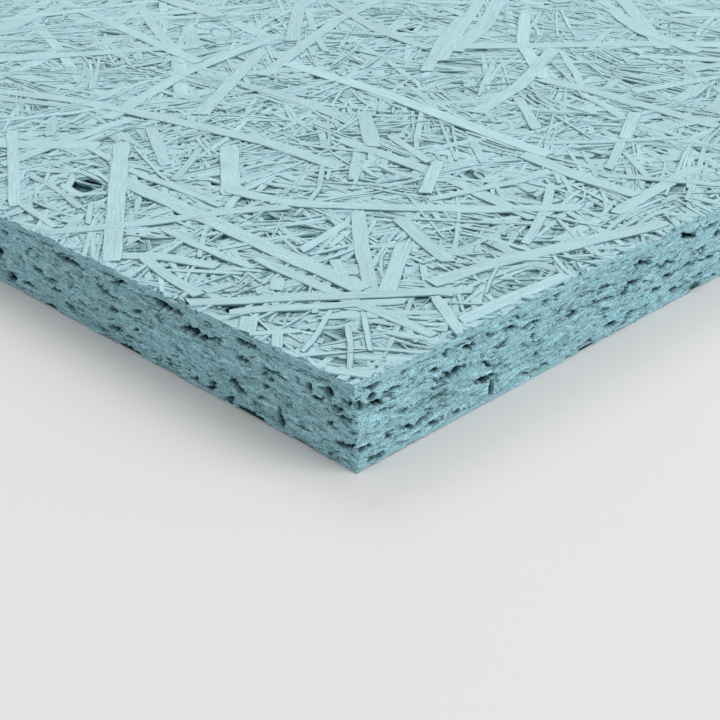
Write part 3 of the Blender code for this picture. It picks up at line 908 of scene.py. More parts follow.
def ground_strands(rng, count, kind, masters, sizes):
    """The strands of one of the layers under the face."""
    margin = LOOSE_KINDS[kind]["margin"]
    return [loose_strand(rng, random_middle(rng, margin), kind, masters, sizes) for _ in range(count)]


def sliver_strands(rng, count, masters, sizes):
    """Short thin slivers, thickest on the ground by the near corner."""
    full, fade = SLIVER_DISTANCES
    made = []
    while len(made) < count:
        middle = random_middle(rng, LOOSE_KINDS["sliver"]["margin"])
        if rng.random() <= math.exp(-max(near_distance(middle) - full, 0) / fade):
            made.append(loose_strand(rng, middle, "sliver", masters, sizes))
    return made


def wide_strands(rng, count, master, sizes):
    """Single wide strands at random."""
    made = []
    for _ in range(count):
        middle = random_middle(rng, WIDE_MARGIN)
        length = math.exp(rng.uniform(*(math.log(value) for value in WIDE_LENGTHS)))
        width = WIDE_LEAST + (sizes.wide_width / MM - WIDE_LEAST) * rng.random() ** WIDE_POWER
        thickness = sizes.strand_thickness / MM * rng.uniform(*WIDE_THICKNESSES)
        made.append(random_strand(rng, middle, length, rng.uniform(0, math.pi), rng.normal(0, WIDE_BEND),
                                  width, thickness, master, WIDE_ROLL))
    return made


def bundle_strands(rng, count, masters, sizes, near=False):
    """Bundles: thin strands side by side, each starting and ending at its own place."""
    ranges = BUNDLE_KINDS["near" if near else "other"]
    made = []
    for _ in range(count):
        middle = random_middle(rng, BUNDLE_MARGIN)
        if near:
            middle = from_near_corner(rng.uniform(*NEAR_BUNDLES, 2))[0]
        heading = rng.uniform(0, math.pi)
        course = np.array((math.cos(heading), math.sin(heading)))
        across = np.array((-math.sin(heading), math.cos(heading)))
        turn = rng.normal(0, BUNDLE_BEND)
        offset = 0.0
        master = masters["thin" if near_distance(middle) < NEAR_DETAIL else "far"]
        for _ in range(rng.integers(*ranges["numbers"])):
            width = math.exp(rng.normal(math.log(ranges["width"]), BUNDLE_WIDTH_SPREAD))
            offset += width / 2
            place = middle + across * offset + course * rng.normal(0, BUNDLE_SHIFT)
            length = rng.uniform(*ranges["lengths"])
            strand_heading = heading + rng.normal(0, BUNDLE_TURN)
            thickness = sizes.strand_thickness / MM * rng.uniform(*BUNDLE_THICKNESSES)
            made.append(random_strand(rng, place, length, strand_heading, turn, width, thickness, master,
                                      BUNDLE_ROLL))
            offset += width / 2 + rng.uniform(*BUNDLE_ROOM)
    return made


def laid_as_solid(strands, master, sizes):
    """Wide strands along the solid's own paths."""
    made = []
    for path, width in strands:
        line = line_through([tuple(point / MM) for point in path])
        made.append(Strand(line, width / MM, sizes.strand_thickness / MM, master))
    return made


def hand_laid(masters, sizes):
    """The strands that the view over the near corner shows, lowest first."""
    made = []
    for points, width, _ in NEAR_STRANDS:
        line = from_near_corner(line_through(points))
        master = masters["lead" if width > LEAD_WIDTH else "thin"]
        made.append(Strand(line, width, sizes.strand_thickness / MM, master))
    return made


def front_order(rng, masters, sizes):
    """All strands of the front face, in the order that they are laid."""
    ground = ground_strands(rng, sizes.lowest_strands, "lowest", masters, sizes)
    ground += ground_strands(rng, sizes.under_strands, "lower", masters, sizes)
    bundles = bundle_strands(rng, sizes.bundles, masters, sizes)
    wide = wide_strands(rng, sizes.wide_strands, masters["wide"], sizes)
    slivers = sliver_strands(rng, sizes.slivers, masters, sizes)
    near, rest = solid_front_strands()
    solid_gaps = face_gaps(FRONT_GAP_SEED, NEAR_GAPS, FRONT_GAPS, near + rest)
    small_gaps = [(*from_near_corner(start), *from_near_corner(end), width)
                  for start, end, width in NEAR_SMALL_GAPS]
    far_gaps = [gap for gap in solid_gaps if near_distance(gap[0]) > MIDDLE_REACH]
    gaps = gap_arrays(solid_gaps[:len(NEAR_GAPS)] + far_gaps + small_gaps)
    covering = int(len(bundles) * FILLING_SHARE)
    filling = bundles[:covering] + slivers + wide
    filling += bundle_strands(rng, sizes.near_bundles, masters, sizes, near=True)
    rng.shuffle(filling)
    under, over = [], []
    for strand in bundles[covering:]:
        (over if near_distance(strand.line).min() > MIDDLE_REACH else under).append(strand)
    ground = beside_gaps(ground, gap_arrays(solid_gaps[:OPEN_GAPS]), DEEP_GAP_HOLD)
    loose = beside_gaps(filling + under, gaps) + laid_as_solid(rest, masters["wide"], sizes)
    return ground + loose + hand_laid(masters, sizes) + beside_gaps(over, gaps)


def back_order(rng, masters, sizes):
    """All strands of the back face, in the order that they are laid."""
    lowest = ground_strands(rng, int(sizes.lowest_strands * BACK_LOWEST_SHARE), "lowest", masters, sizes)
    bundles = bundle_strands(rng, int(sizes.bundles * sizes.back_share), masters, sizes)
    wide = wide_strands(rng, int(sizes.wide_strands * BACK_WIDE_SHARE), masters["plain"], sizes)
    cover = bundles + wide
    rng.shuffle(cover)
    solid = solid_back_strands()
    gaps = gap_arrays([(start * (-1, 1), end * (-1, 1), width)
                       for start, end, width in face_gaps(BACK_GAP_SEED, (), BACK_GAPS, solid)])
    turned = [([Vector((-point.x, point.y)) for point in path], width) for path, width in solid]
    return lowest + beside_gaps(cover, gaps) + laid_as_solid(turned, masters["plain"], sizes)


# From strands to meshes

# A strand's shape: how much its width varies along it and over how many steps, how narrow its tips are and
# how far they reach, how wide its rounded edges are and the least half width left between them, how its
# slanted ends are shared out, the least share of its length worth keeping, and how far it is lowered for
# its roll
RAGGED = 0.16
RAGGED_STEPS = 3
TIP_WIDTH, TIP_GROWTH = 0.72, 0.28
TIP_REACH = 2.5
SHOULDER_WIDTH = 3.0
SHOULDER_LEFT = 0.1
SLANT_SHARE = 0.5
SHORTEST_LEFT = 0.04
ROLL_SHARE = 0.25

# How far a face's saw cuts lie inside the box, on average and in spread, and the greatest depth that a cut
# end gets painted shade for
SAW_INSET = (0.20, 0.20)
SAWN_END_SHADE_DEPTH = 0.9

# Room left round each strand's strip on the bake map, and in all
STRIP_MARGIN = 0.25
STRIP_ROOM = 1.04

STRAND_SMOOTHING = math.radians(40)
MOST_TRIANGLES = 180000

# The straight strands, by kind: spans along it, how far its top edges are drawn in, whether they are
# rounded, and the length of its tips
FLAT_BARS = {
    "lead": (20, 0.12, True, 0.012),
    "wide": (12, 0.12, True, 0.015),
    "plain": (12, 0.10, False),
    "lowest": (2, 0.06, False),
    "lower": (5, 0.12, False),
    "thin": (4, 0.16, False),
    "far": (3, 0.16, False),
}
SLIVER_SPANS = 2

# The straight strands once they are modelled, and the height maps of the two pressed faces
MASTERS = {}
RIMS = {}


def rail_reach(rail, reach):
    """The stretch of a rail that lies within the saw's cuts, as shares of its length, or None."""
    inside = (np.abs(rail) <= reach).all(axis=1)
    if inside.all():
        return 0.0, 1.0
    if not inside.any():
        return None
    room = (reach - np.abs(rail)).min(axis=1)
    middle = int(room.argmax())
    last = len(rail) - 1
    ends = []
    for way, stop in ((-1, 0), (1, last)):
        index = middle
        while index != stop and inside[index + way]:
            index += way
        place = float(index)
        if index != stop:
            here, there = np.abs(rail[index]), np.abs(rail[index + way])
            crossing = [(reach[a] - here[a]) / (there[a] - here[a]) for a in (0, 1) if there[a] > reach[a]]
            place += way * min(crossing)
        ends.append(place / last)
    return tuple(ends)


def strand_verts(strand, rng, notches):
    """Vertices of a strand in the plan's frame, trimmed at the saw's cuts, or None if the saw leaves none."""
    master = strand.master
    count = len(strand.line)
    shares = np.linspace(0, 1, count)
    ragged = smooth(rng.normal(0, 1, (count + 8)), RAGGED_STEPS)[:count]
    width = strand.width * (1 + RAGGED * ragged)
    tip = np.minimum(shares, 1 - shares) * (count - 1) * LINE_STEP
    width = width * (TIP_WIDTH + TIP_GROWTH * np.clip(tip / TIP_REACH, 0, 1))
    skew = rng.uniform(-1, 1, 2) * strand.width / (count * LINE_STEP)
    shoulder = np.maximum(strand.width / 2 - (0.5 - np.abs(master.side)) * SHOULDER_WIDTH,
                          SHOULDER_LEFT * strand.width) / strand.width
    lateral = np.where(master.is_shoulder, np.sign(master.side) * shoulder, master.side)
    along = np.empty(len(master.along))
    saw_cut = HALF - np.maximum(rng.normal(*SAW_INSET, 2), 0.0)
    for side in np.unique(np.round(master.side, 4)):
        rail = strand.line + strand.across * (width * side)[:, None]
        stretch = rail_reach(rail, saw_cut)
        if stretch is None:
            return None
        slants = [max(slant * side, -slant * SLANT_SHARE, 0.0) for slant in skew]
        start = stretch[0] if stretch[0] > 0 else slants[0]
        end = stretch[1] if stretch[1] < 1 else 1 - slants[1]
        if end - start < SHORTEST_LEFT:
            return None
        chosen = np.abs(master.side - side) < 1e-3
        along[chosen] = start + (end - start) * master.along[chosen]
    place = along * (count - 1)
    index = np.minimum(place.astype(int), count - 2)
    share = (place - index)[:, None]

    def at(values):
        """Values along the line, read at each vertex's place."""
        return values[index] * (1 - share) + values[index + 1] * share

    offset = at(width[:, None]) * lateral[:, None]
    plan = np.clip(at(strand.line) + at(strand.across) * offset, -saw_cut, saw_cut)
    if (HALF - np.abs(plan)).min() < NOTCH_REACH:
        plan = draw_back(plan, notches)
    top = at(strand.top[:, None])[:, 0]
    roll = np.tan(strand.roll + strand.twist * (along - 0.5))
    lean = offset[:, 0] * roll - np.abs(roll) * strand.width * ROLL_SHARE
    height = np.minimum(top + lean, 0.0) - strand.thickness * (1 - master.up)
    return np.column_stack((plan, height))


def pack_strips(strands):
    """Places of the strands' strips on the bake map, in millimetres, and the side of the map."""
    spans = np.array([(len(s.line) - 1) * LINE_STEP + 2 * s.thickness for s in strands])
    rises = np.array([s.master.strip[0] * s.width + s.master.strip[1] * s.thickness for s in strands])
    spans += 2 * STRIP_MARGIN
    rises += 2 * STRIP_MARGIN
    side = math.sqrt((spans * rises).sum() * STRIP_ROOM)
    places = np.zeros((len(strands), 2))
    across, along, row = 0.0, 0.0, 0.0
    for index in np.argsort(-rises):
        if along + spans[index] > side:
            across += row
            along, row = 0.0, 0.0
        row = max(row, rises[index])
        places[index] = (along + STRIP_MARGIN + strands[index].thickness, across + STRIP_MARGIN)
        along += spans[index]
    return places, max(side, across + row)


def write_mesh(name, verts, loops, totals, unrolled, values):
    """Make a mesh object from arrays, with its bake map and its point values."""
    mesh = bpy.data.meshes.new(name)
    mesh.vertices.add(len(verts))
    set_coords(mesh, verts)
    mesh.loops.add(len(loops))
    mesh.loops.foreach_set("vertex_index", loops.astype(np.int32))
    mesh.polygons.add(len(totals))
    starts = np.concatenate(((0,), np.cumsum(totals)[:-1]))
    mesh.polygons.foreach_set("loop_start", starts.astype(np.int32))
    mesh.update(calc_edges=True)
    layer = mesh.uv_layers.new(name=BAKE_MAP)
    layer.data.foreach_set("uv", unrolled.astype(np.float32).ravel())
    for key, data in values.items():
        add_values(mesh, key, data)
    obj = bpy.data.objects.new(name, mesh)
    bpy.context.scene.collection.objects.link(obj)
    return obj


def strands_object(name, side, strands, rng):
    """One object of many strands. On the back face they are turned over about the Y axis."""
    notches = rim_notches(side)
    laid = [(strand, strand_verts(strand, rng, notches)) for strand in strands]
    laid = [(strand, verts) for strand, verts in laid if verts is not None]
    places, map_side = pack_strips([strand for strand, _ in laid])
    all_verts, all_loops, all_totals, all_uv, tones, depths = [], [], [], [], [], []
    base = 0
    for (strand, verts), place in zip(laid, places):
        master = strand.master
        length = (len(strand.line) - 1) * LINE_STEP
        all_verts.append(verts)
        all_loops.append(master.loops + base)
        all_totals.append(master.totals)
        spread = master.unrolled
        all_uv.append(np.column_stack((
            place[0] + spread[:, 0] * length + spread[:, 1] * strand.thickness,
            place[1] + spread[:, 2] * strand.width + spread[:, 3] * strand.thickness)) / map_side)
        tones.append(np.full(len(verts), rng.normal(0, 1)))
        # Depth below the face, which the paint turns into painted shade; at the saw's cuts it is capped, so
        # cut ends get less
        sawn = (HALF - np.abs(verts[:, :2])).min(axis=1) < NOTCH_REACH
        depths.append(np.where(sawn, np.minimum(-verts[:, 2], SAWN_END_SHADE_DEPTH), -verts[:, 2]))
        base += len(verts)
    verts = np.concatenate(all_verts)
    verts = verts * (-1, 1, -1) if side == "back" else verts + (0, 0, THICKNESS)
    obj = write_mesh(name, verts, np.concatenate(all_loops), np.concatenate(all_totals),
                     np.concatenate(all_uv), {"tone": np.concatenate(tones), "depth": np.concatenate(depths)})
    obj["map_side"] = map_side
    make_active(obj)
    bpy.ops.object.shade_smooth_by_angle(angle=STRAND_SMOOTHING)
    return obj


def strand_masters():
    """The straight strands that every laid strand is bent from."""
    masters = {kind: flat_bar(*shape) for kind, shape in FLAT_BARS.items()}
    masters["sliver"] = ridge_bar(SLIVER_SPANS)
    return masters


def face_objects(order, side, rng):
    """Lay, press and write one face's strands, as one object for each kind."""
    pile = Pile()
    for strand in order:
        pile.lay(strand)
    press(pile, order)
    kept, RIMS[side] = keep_visible(order)
    groups = {}
    for strand in kept:
        kind = next(k for k, m in MASTERS.items() if m is strand.master)
        groups.setdefault(kind, []).append(strand)
    made = []
    for kind, strands in groups.items():
        total = sum(strand.master.triangles for strand in strands)
        pieces = max(1, math.ceil(total / MOST_TRIANGLES))
        for piece in range(pieces):
            name = f"{side}_{kind}_strands" + (f"_{piece + 1}" if pieces > 1 else "")
            made.append(strands_object(name, side, strands[piece::pieces], rng))
    return made


# Materials

# Noise in the paint: scale, detail and roughness
NOISES = {
    "strand grain": (1.0, 4.0, 0.62),
    "strand splits": (1.0, 1.5, 0.5),
    "strand specks": (2600.0, 2.0, 0.7),
    "strand cloud": (55.0, 3.0, 0.55),
    "edge drift": (105.0, 2.0, 0.5),
    "edge streaks": (3000.0, 3.0, 0.75),
    "edge pits": (3600.0, 2.0, 0.6),
    "edge cloud": (120.0, 4.0, 0.6),
    "edge cracks": (1050.0, 3.0, 0.6),
    "core fibres": (420.0, 5.0, 0.65),
}

# Values turned into light or a share of a second colour: from low, from high, to low, to high
RANGES = {
    "strand grain": (0.34, 0.60, 0.80, 1.04),
    "strand splits": (0.61, 0.68, 1.0, 0.85),
    "strand specks": (0.36, 0.58, 0.83, 1.04),
    "strand cloud": (0.3, 0.7, 0.965, 1.03),
    # Painted shade: strands lying deep below the face go towards the painted shade colour
    "strand shade by depth": (0.9, 2.3, 0.0, 1.0),
    # Painted shade: the strands' upright sides, most near the near corner
    "strand side shade": (0.05, 0.40, 0.80, 0.42),
    "edge streaks": (0.36, 0.56, 0.67, 1.13),
    # Painted shade: the low ends of the edge's pits, and below of its cracks, draw dark pinholes and cracks
    "edge pits": (0.35, 0.47, 0.20, 1.09),
    "edge cloud": (0.3, 0.7, 0.90, 1.07),
    "edge cracks": (0.335, 0.405, 0.32, 1.0),
    "edge tone": (-2.0, 2.0, 0.74, 1.18),
    # Painted shade: the edge darkens with its depth behind the saw's cut, and its voids take the painted
    # shade colour
    "edge shade by depth": (0.1, 0.9, 1.08, 0.84),
    "edge void shade": (0.8, 2.2, 0.0, 1.0),
    "core fibres": (0.35, 0.65, 0.0, 1.0),
}

# Bumps: strength and distance
BUMPS = {
    "strand splits": (0.6, 0.00022),
    "strand grain": (0.65, 0.00018),
    "strand specks": (0.35, 0.00010),
    "edge cracks": (0.8, 0.0003),
    "edge streaks": (0.6, 0.00030),
    "edge pits": (0.45, 0.00020),
    "core fibres": (0.8, 0.001),
}

# Finishes: roughness and shine
FINISHES = {
    "strand": (0.82, 0.05),
    "edge": (0.9, 0.0),
    "core": (0.95, 0.1),
    "floor": (0.9, 0.1),
}

# Waves of grain and of splits in each millimetre along a strand and across it
STRIP_SCALES = {"strand grain": (0.09, 3.0), "strand splits": (0.02, 1.7)}

# How much a strand's own tone changes its light, how far from the saw's cut its sides have the edges'
# paint, and how far a face's normal may rise for it to be one of the sides
TONE_SPREAD = 0.030
SAWN_REACH = 3.0
UPRIGHT = 0.5

# How far streaks drift up and down, how long they are drawn out, and the shares of the painted shade colour
# in the edge's voids and in the dark and pale fibres of the core mat, whose colour is painted shade too
STREAK_DRIFT = 0.005
STREAK_STRETCH = 0.16
VOID_SHADE = 0.55
CORE_SHARES = (0.6, 1.3)


class Nodes:
    """Short ways to add and join shader nodes in one material."""

    def __init__(self, name):
        self.material = bpy.data.materials.new(name)
        self.material.use_nodes = True
        self.tree = self.material.node_tree
        self.shader = self.tree.nodes["Principled BSDF"]

    def add(self, kind, **settings):
        """Add a node, and set its inputs or its own settings by name."""
        node = self.tree.nodes.new(kind)
        for key, value in settings.items():
            if key in node.inputs:
                node.inputs[key].default_value = value
            else:
                setattr(node, key, value)
        return node

    def feed(self, socket, value):
        """Set a socket to a value, or join another node's output to it."""
        if isinstance(value, bpy.types.NodeSocket):
            self.tree.links.new(value, socket)
        else:
            socket.default_value = value

    def math(self, operation, *values):
        """The result of a sum over some values."""
        node = self.add("ShaderNodeMath", operation=operation)
        for socket, value in zip(node.inputs, values):
            self.feed(socket, value)
        return node.outputs[0]

    def product(self, first, *others):
        """Several values multiplied by each other."""
        for other in others:
            first = self.math('MULTIPLY', first, other)
        return first

    def value(self, key):
        """A value that the mesh holds for each vertex."""
        return self.add("ShaderNodeAttribute", attribute_name=key).outputs["Fac"]

    def split(self, vector):
        """The outputs for the three parts of a vector."""
        node = self.add("ShaderNodeSeparateXYZ")
        self.feed(node.inputs["Vector"], vector)
        return node.outputs

    def stretched(self, place, scale):
        """A place with its three parts scaled."""
        node = self.add("ShaderNodeMapping", Scale=scale)
        self.feed(node.inputs["Vector"], place)
        return node.outputs["Vector"]

    def noise(self, kind, place):
        """One of the listed noises, read at a place."""
        scale, detail, roughness = NOISES[kind]
        node = self.add("ShaderNodeTexNoise", Scale=scale, Detail=detail, Roughness=roughness)
        self.feed(node.inputs["Vector"], place)
        return node.outputs["Fac"]

    def ranged(self, kind, source):
        """A value turned from one of the listed ranges into its other range."""
        node = self.add("ShaderNodeMapRange", clamp=True)
        self.feed(node.inputs["Value"], source)
        for key, number in zip(("From Min", "From Max", "To Min", "To Max"), RANGES[kind]):
            node.inputs[key].default_value = number
        return node.outputs["Result"]

    def mix(self, factor, first, second, blend='MIX'):
        """A mix of two colours."""
        node = self.add("ShaderNodeMix", data_type='RGBA', blend_type=blend)
        for key, value in (("Factor", factor), ("A", first), ("B", second)):
            self.feed(next(s for s in node.inputs if s.name == key and s.enabled), value)
        return next(s for s in node.outputs if s.enabled)

    def lit(self, paint, light):
        """A paint made lighter or darker by a value."""
        grey = self.add("ShaderNodeCombineColor")
        for channel in ("Red", "Green", "Blue"):
            self.feed(grey.inputs[channel], light)
        return self.mix(1.0, paint, grey.outputs["Color"], 'MULTIPLY')

    def finish(self, kind, colour):
        """Give the shader its colour, roughness and shine."""
        keys = ("Base Color", "Roughness", "Specular IOR Level")
        for key, value in zip(keys, (colour, *FINISHES[kind])):
            self.feed(self.shader.inputs[key], value)

    def bumps(self, *layers):
        """Give the shader some of the listed bumps, one over the other."""
        below = None
        for kind, height in layers:
            strength, distance = BUMPS[kind]
            node = self.add("ShaderNodeBump", Strength=strength, Distance=distance)
            self.feed(node.inputs["Height"], height)
            if below is not None:
                self.feed(node.inputs["Normal"], below)
            below = node.outputs["Normal"]
        self.feed(self.shader.inputs["Normal"], below)


def upright_faces(nodes, place):
    """Masks of the strands' upright sides and of the board's rim, and the distance from the near corner."""
    spot = nodes.split(place)
    out = [nodes.math('SUBTRACT', nodes.math('ABSOLUTE', spot[axis]), (half - SAWN_REACH) * MM)
           for axis, half in (("X", HALF_X), ("Y", HALF_Y))]
    at_rim = nodes.math('GREATER_THAN', nodes.math('MAXIMUM', *out), 0.0)
    facing = nodes.split(nodes.add("ShaderNodeNewGeometry").outputs["True Normal"])
    upright = nodes.math('LESS_THAN', nodes.math('ABSOLUTE', facing["Z"]), UPRIGHT)
    away = nodes.math('MAXIMUM', nodes.math('SUBTRACT', HALF_X * MM, spot["X"]),
                      nodes.math('ADD', spot["Y"], HALF_Y * MM))
    return upright, at_rim, away


def share_of(colour, share):
    """A colour made darker or paler by a share."""
    return tuple(share * part for part in tuple(colour)[:3]) + (1.0,)


def strand_paint(name, map_side, colours):
    """Matt paint over a strand: fine grain, a tone of its own, painted shade where it lies deep and on its
    sides.
    """
    nodes = Nodes(name)
    strip = nodes.add("ShaderNodeUVMap", uv_map=BAKE_MAP).outputs["UV"]
    place = nodes.add("ShaderNodeTexCoord").outputs["Object"]
    grain, splits = (nodes.noise(kind, nodes.stretched(strip, (map_side * along, map_side * across, 1.0)))
                     for kind, (along, across) in STRIP_SCALES.items())
    specks, cloud = (nodes.noise(kind, place) for kind in ("strand specks", "strand cloud"))
    split_light = nodes.ranged("strand splits", splits)
    tone_light = nodes.math('MULTIPLY_ADD', nodes.value("tone"), TONE_SPREAD, 1.0)
    light = nodes.product(nodes.ranged("strand grain", grain), nodes.ranged("strand specks", specks),
                          split_light, tone_light, nodes.ranged("strand cloud", cloud))

    painted_shade = tuple(colours.painted_shade)
    upright, at_rim, away = upright_faces(nodes, place)
    # Painted shade on the strands' upright sides, strongest by the near corner
    side_shade = nodes.math('MULTIPLY', upright, nodes.ranged("strand side shade", away))
    # Painted shade: deep strands go towards the painted shade colour
    paint = nodes.mix(nodes.ranged("strand shade by depth", nodes.value("depth")), tuple(colours.paint), painted_shade)
    paint = nodes.mix(side_shade, paint, painted_shade)
    paint = nodes.mix(nodes.math('MULTIPLY', upright, at_rim), paint, tuple(colours.edge_paint_and_shade))
    nodes.finish("strand", nodes.lit(paint, light))
    nodes.bumps(("strand splits", split_light), ("strand grain", grain), ("strand specks", specks))
    return nodes.material


def edge_paint_and_shade(name, along, colours):
    """Paint on the torn fibres of a sawn edge: fine streaks along it, painted shade where it lies deep and in
    its voids.
    """
    nodes = Nodes(name)
    place = nodes.add("ShaderNodeTexCoord").outputs["Object"]
    drifted = nodes.add("ShaderNodeVectorMath", operation='MULTIPLY_ADD')
    drift = nodes.noise("edge drift", place).node.outputs["Color"]
    for socket, value in zip(drifted.inputs, (drift, (0.0, 0.0, STREAK_DRIFT), place)):
        nodes.feed(socket, value)
    scale = [1.0, 1.0, 1.0]
    scale[along] = STREAK_STRETCH
    drawn_out = nodes.stretched(drifted.outputs["Vector"], scale)
    streaks, cloud, cracks = (nodes.noise(kind, drawn_out)
                              for kind in ("edge streaks", "edge cloud", "edge cracks"))
    # Painted shade: pits and cracks draw dark pinholes and cracks, with bumps of their own
    pits = nodes.noise("edge pits", place)
    crack_light = nodes.ranged("edge cracks", cracks)
    depth = nodes.value("depth")
    # Painted shade: the light falls where the edge lies deep behind the saw's cut, and in its pinholes and
    # cracks
    light = nodes.product(nodes.ranged("edge streaks", streaks), nodes.ranged("edge pits", pits),
                          nodes.ranged("edge cloud", cloud), crack_light,
                          nodes.ranged("edge tone", nodes.value("tone")), nodes.ranged("edge shade by depth", depth))
    # Painted shade: the voids take the painted shade colour
    paint = nodes.mix(nodes.ranged("edge void shade", depth), tuple(colours.edge_paint_and_shade),
                      share_of(colours.painted_shade, VOID_SHADE))
    nodes.finish("edge", nodes.lit(paint, light))
    nodes.bumps(("edge cracks", crack_light), ("edge streaks", streaks), ("edge pits", pits))
    return nodes.material


def core_paint(colours):
    """The core mat's colour, all painted shade, as it only shows deep in the gaps."""
    nodes = Nodes("core_paint")
    fibres = nodes.noise("core fibres", nodes.add("ShaderNodeTexCoord").outputs["Object"])
    dark, pale = (share_of(colours.painted_shade, share) for share in CORE_SHARES)
    nodes.finish("core", nodes.mix(nodes.ranged("core fibres", fibres), dark, pale))
    nodes.bumps(("core fibres", fibres))
    return nodes.material


# Sawn edges

# Cells of an edge's depth map, and how far its ground lies behind the saw's cut
EDGE_CELL_ALONG = 0.2
EDGE_CELL_UP = 0.1
EDGE_GROUND = 0.7

# Cut ends of strands: how many in each millimetre of edge, half their length and height, the spread of tilt
# of long and of short ones in degrees, the half length that parts the two, the room looked at round one,
# how far one stands behind the saw's cut, how far its rim falls back, the spread of its lean and the powers
# that shape it
CUT_ENDS_IN_MM = 15
CUT_END_LENGTHS = (0.8, 10.0)
CUT_END_HEIGHTS = (0.15, 0.40)
CUT_END_TILTS = (6, 16)
LONG_CUT_END = 2
CUT_END_ROOM = (1, 0.5)
CUT_END_DEPTHS = (0.04, 0.30)
CUT_END_ROUNDING = 0.16
CUT_END_LEAN = 0.035
CUT_END_POWERS = (4, 2.6)

# Bends of the rows of cut ends: reach along, reach up and size, and the cells added round the map for them
ROW_BENDS = ((9.0, 2.2, 0.75), (3.2, 1.1, 0.28))
ROW_MARGIN = 32

# Voids: how much taller and longer they are than listed, the distance between their knots, how far a knot
# bends and swells, how pointed their ends are, the room looked at round one, the width of its wall, where
# its tip closes, its depth where it is thin, and the depths of those by the near corner and of the solid's
VOID_SWELL = 1.45
VOID_STRETCH = 1.35
VOID_KNOT = 0.9
VOID_BENDS = (-0.45, 0.45)
VOID_BULGES = (0.45, 1.5)
VOID_POINTS = (0.9, 2.0)
VOID_ROOM = 1.5
VOID_MARGIN = 0.8
VOID_WALL = 0.16
VOID_TIP = 0.02
VOID_THIN = 0.35
VOID_DEPTHS = (2.6, 4.8)

# Voids at random: how many in each millimetre of edge, their least length, growth and its power, the same
# for their height, the room left below and above, the spread of their tilt in degrees and their depths
RANDOM_VOIDS_IN_MM = 0.30
RANDOM_VOID_LENGTHS = (2.2, 10.5, 1.8)
RANDOM_VOID_HEIGHTS = ((0.4, 0.95), 1.1, 3)
RANDOM_VOID_ROOM = (0.2, 1.0)
RANDOM_VOID_TILT = 10
RANDOM_VOID_DEPTHS = (1.8, 4.6)

# Pinholes and nicks, in the same way
SPECKS_IN_MM = 0.9
SPECK_ROOM = (0.3, 0.5)
SPECK_LENGTHS = (0.8, 3.4)
SPECK_HEIGHTS = (0.3, 0.6)
SPECK_TILT = 14
SPECK_DEPTHS = (0.9, 1.8)

# Columns of an edge's grid: how far the closest ones run from the near corner, their step, the widest step,
# how fast steps grow, and the share of one left before the end. Rows of near and far edges.
FINE_REACH = 90.0
FINE_STEP = 0.34
COARSE_STEP = 1.5
STEP_GROWTH = 1.006
LAST_STEP = 0.6
NEAR_ROWS, FAR_ROWS = 86, 44

# Wear of the upright corners: levels, depth everywhere, depth and reach of the two sizes of chips, how far
# it reaches along the edges; and the notches of the near corner: height, half height and depth
CORNER_LEVELS = 126
CORNER_WEAR = 0.16
CORNER_CHIPS = ((0.35, 1.5), (1.3, 9))
CORNER_REACH = 0.8
NEAR_NOTCHES = ((18.9, 0.8, 1.1), (14.0, 0.35, 0.4), (11.0, 0.4, 0.6), (6.6, 0.6, 0.9), (3.4, 0.3, 0.4))

# The rim: how far inside the edge the strands' tops are read, how near the face's own rim, how far below
# the tops it stays, and how deep it lies at most; how far behind the saw's cut the lowest row of the edge
# may lie
RIM_PROBES = (0.3, 0.8, 1.3)
RIM_MARGIN = 0.1
RIM_GAP = 0.10
RIM_DEEPEST = {"front": 1.5, "back": 0.25}
BOTTOM_LIP = 0.7

# How the slab closes behind the edge: first step inward and its drop, drop of the last one, the depth whose
# painted shade both are given, and the angle that it is shaded smooth up to
RIM_STEP = (0.9, 1.3)
SLAB_DROP = 3.2
INNER_SHADE_DEPTH = 1.8
EDGE_SMOOTHING = math.radians(60)
UP = np.array((0, 0, 1.0))


def along_and_across(da, dz, tilt):
    """Distances along and across a shape tilted in the edge's plane."""
    return da * math.cos(tilt) + dz * math.sin(tilt), dz * math.cos(tilt) - da * math.sin(tilt)


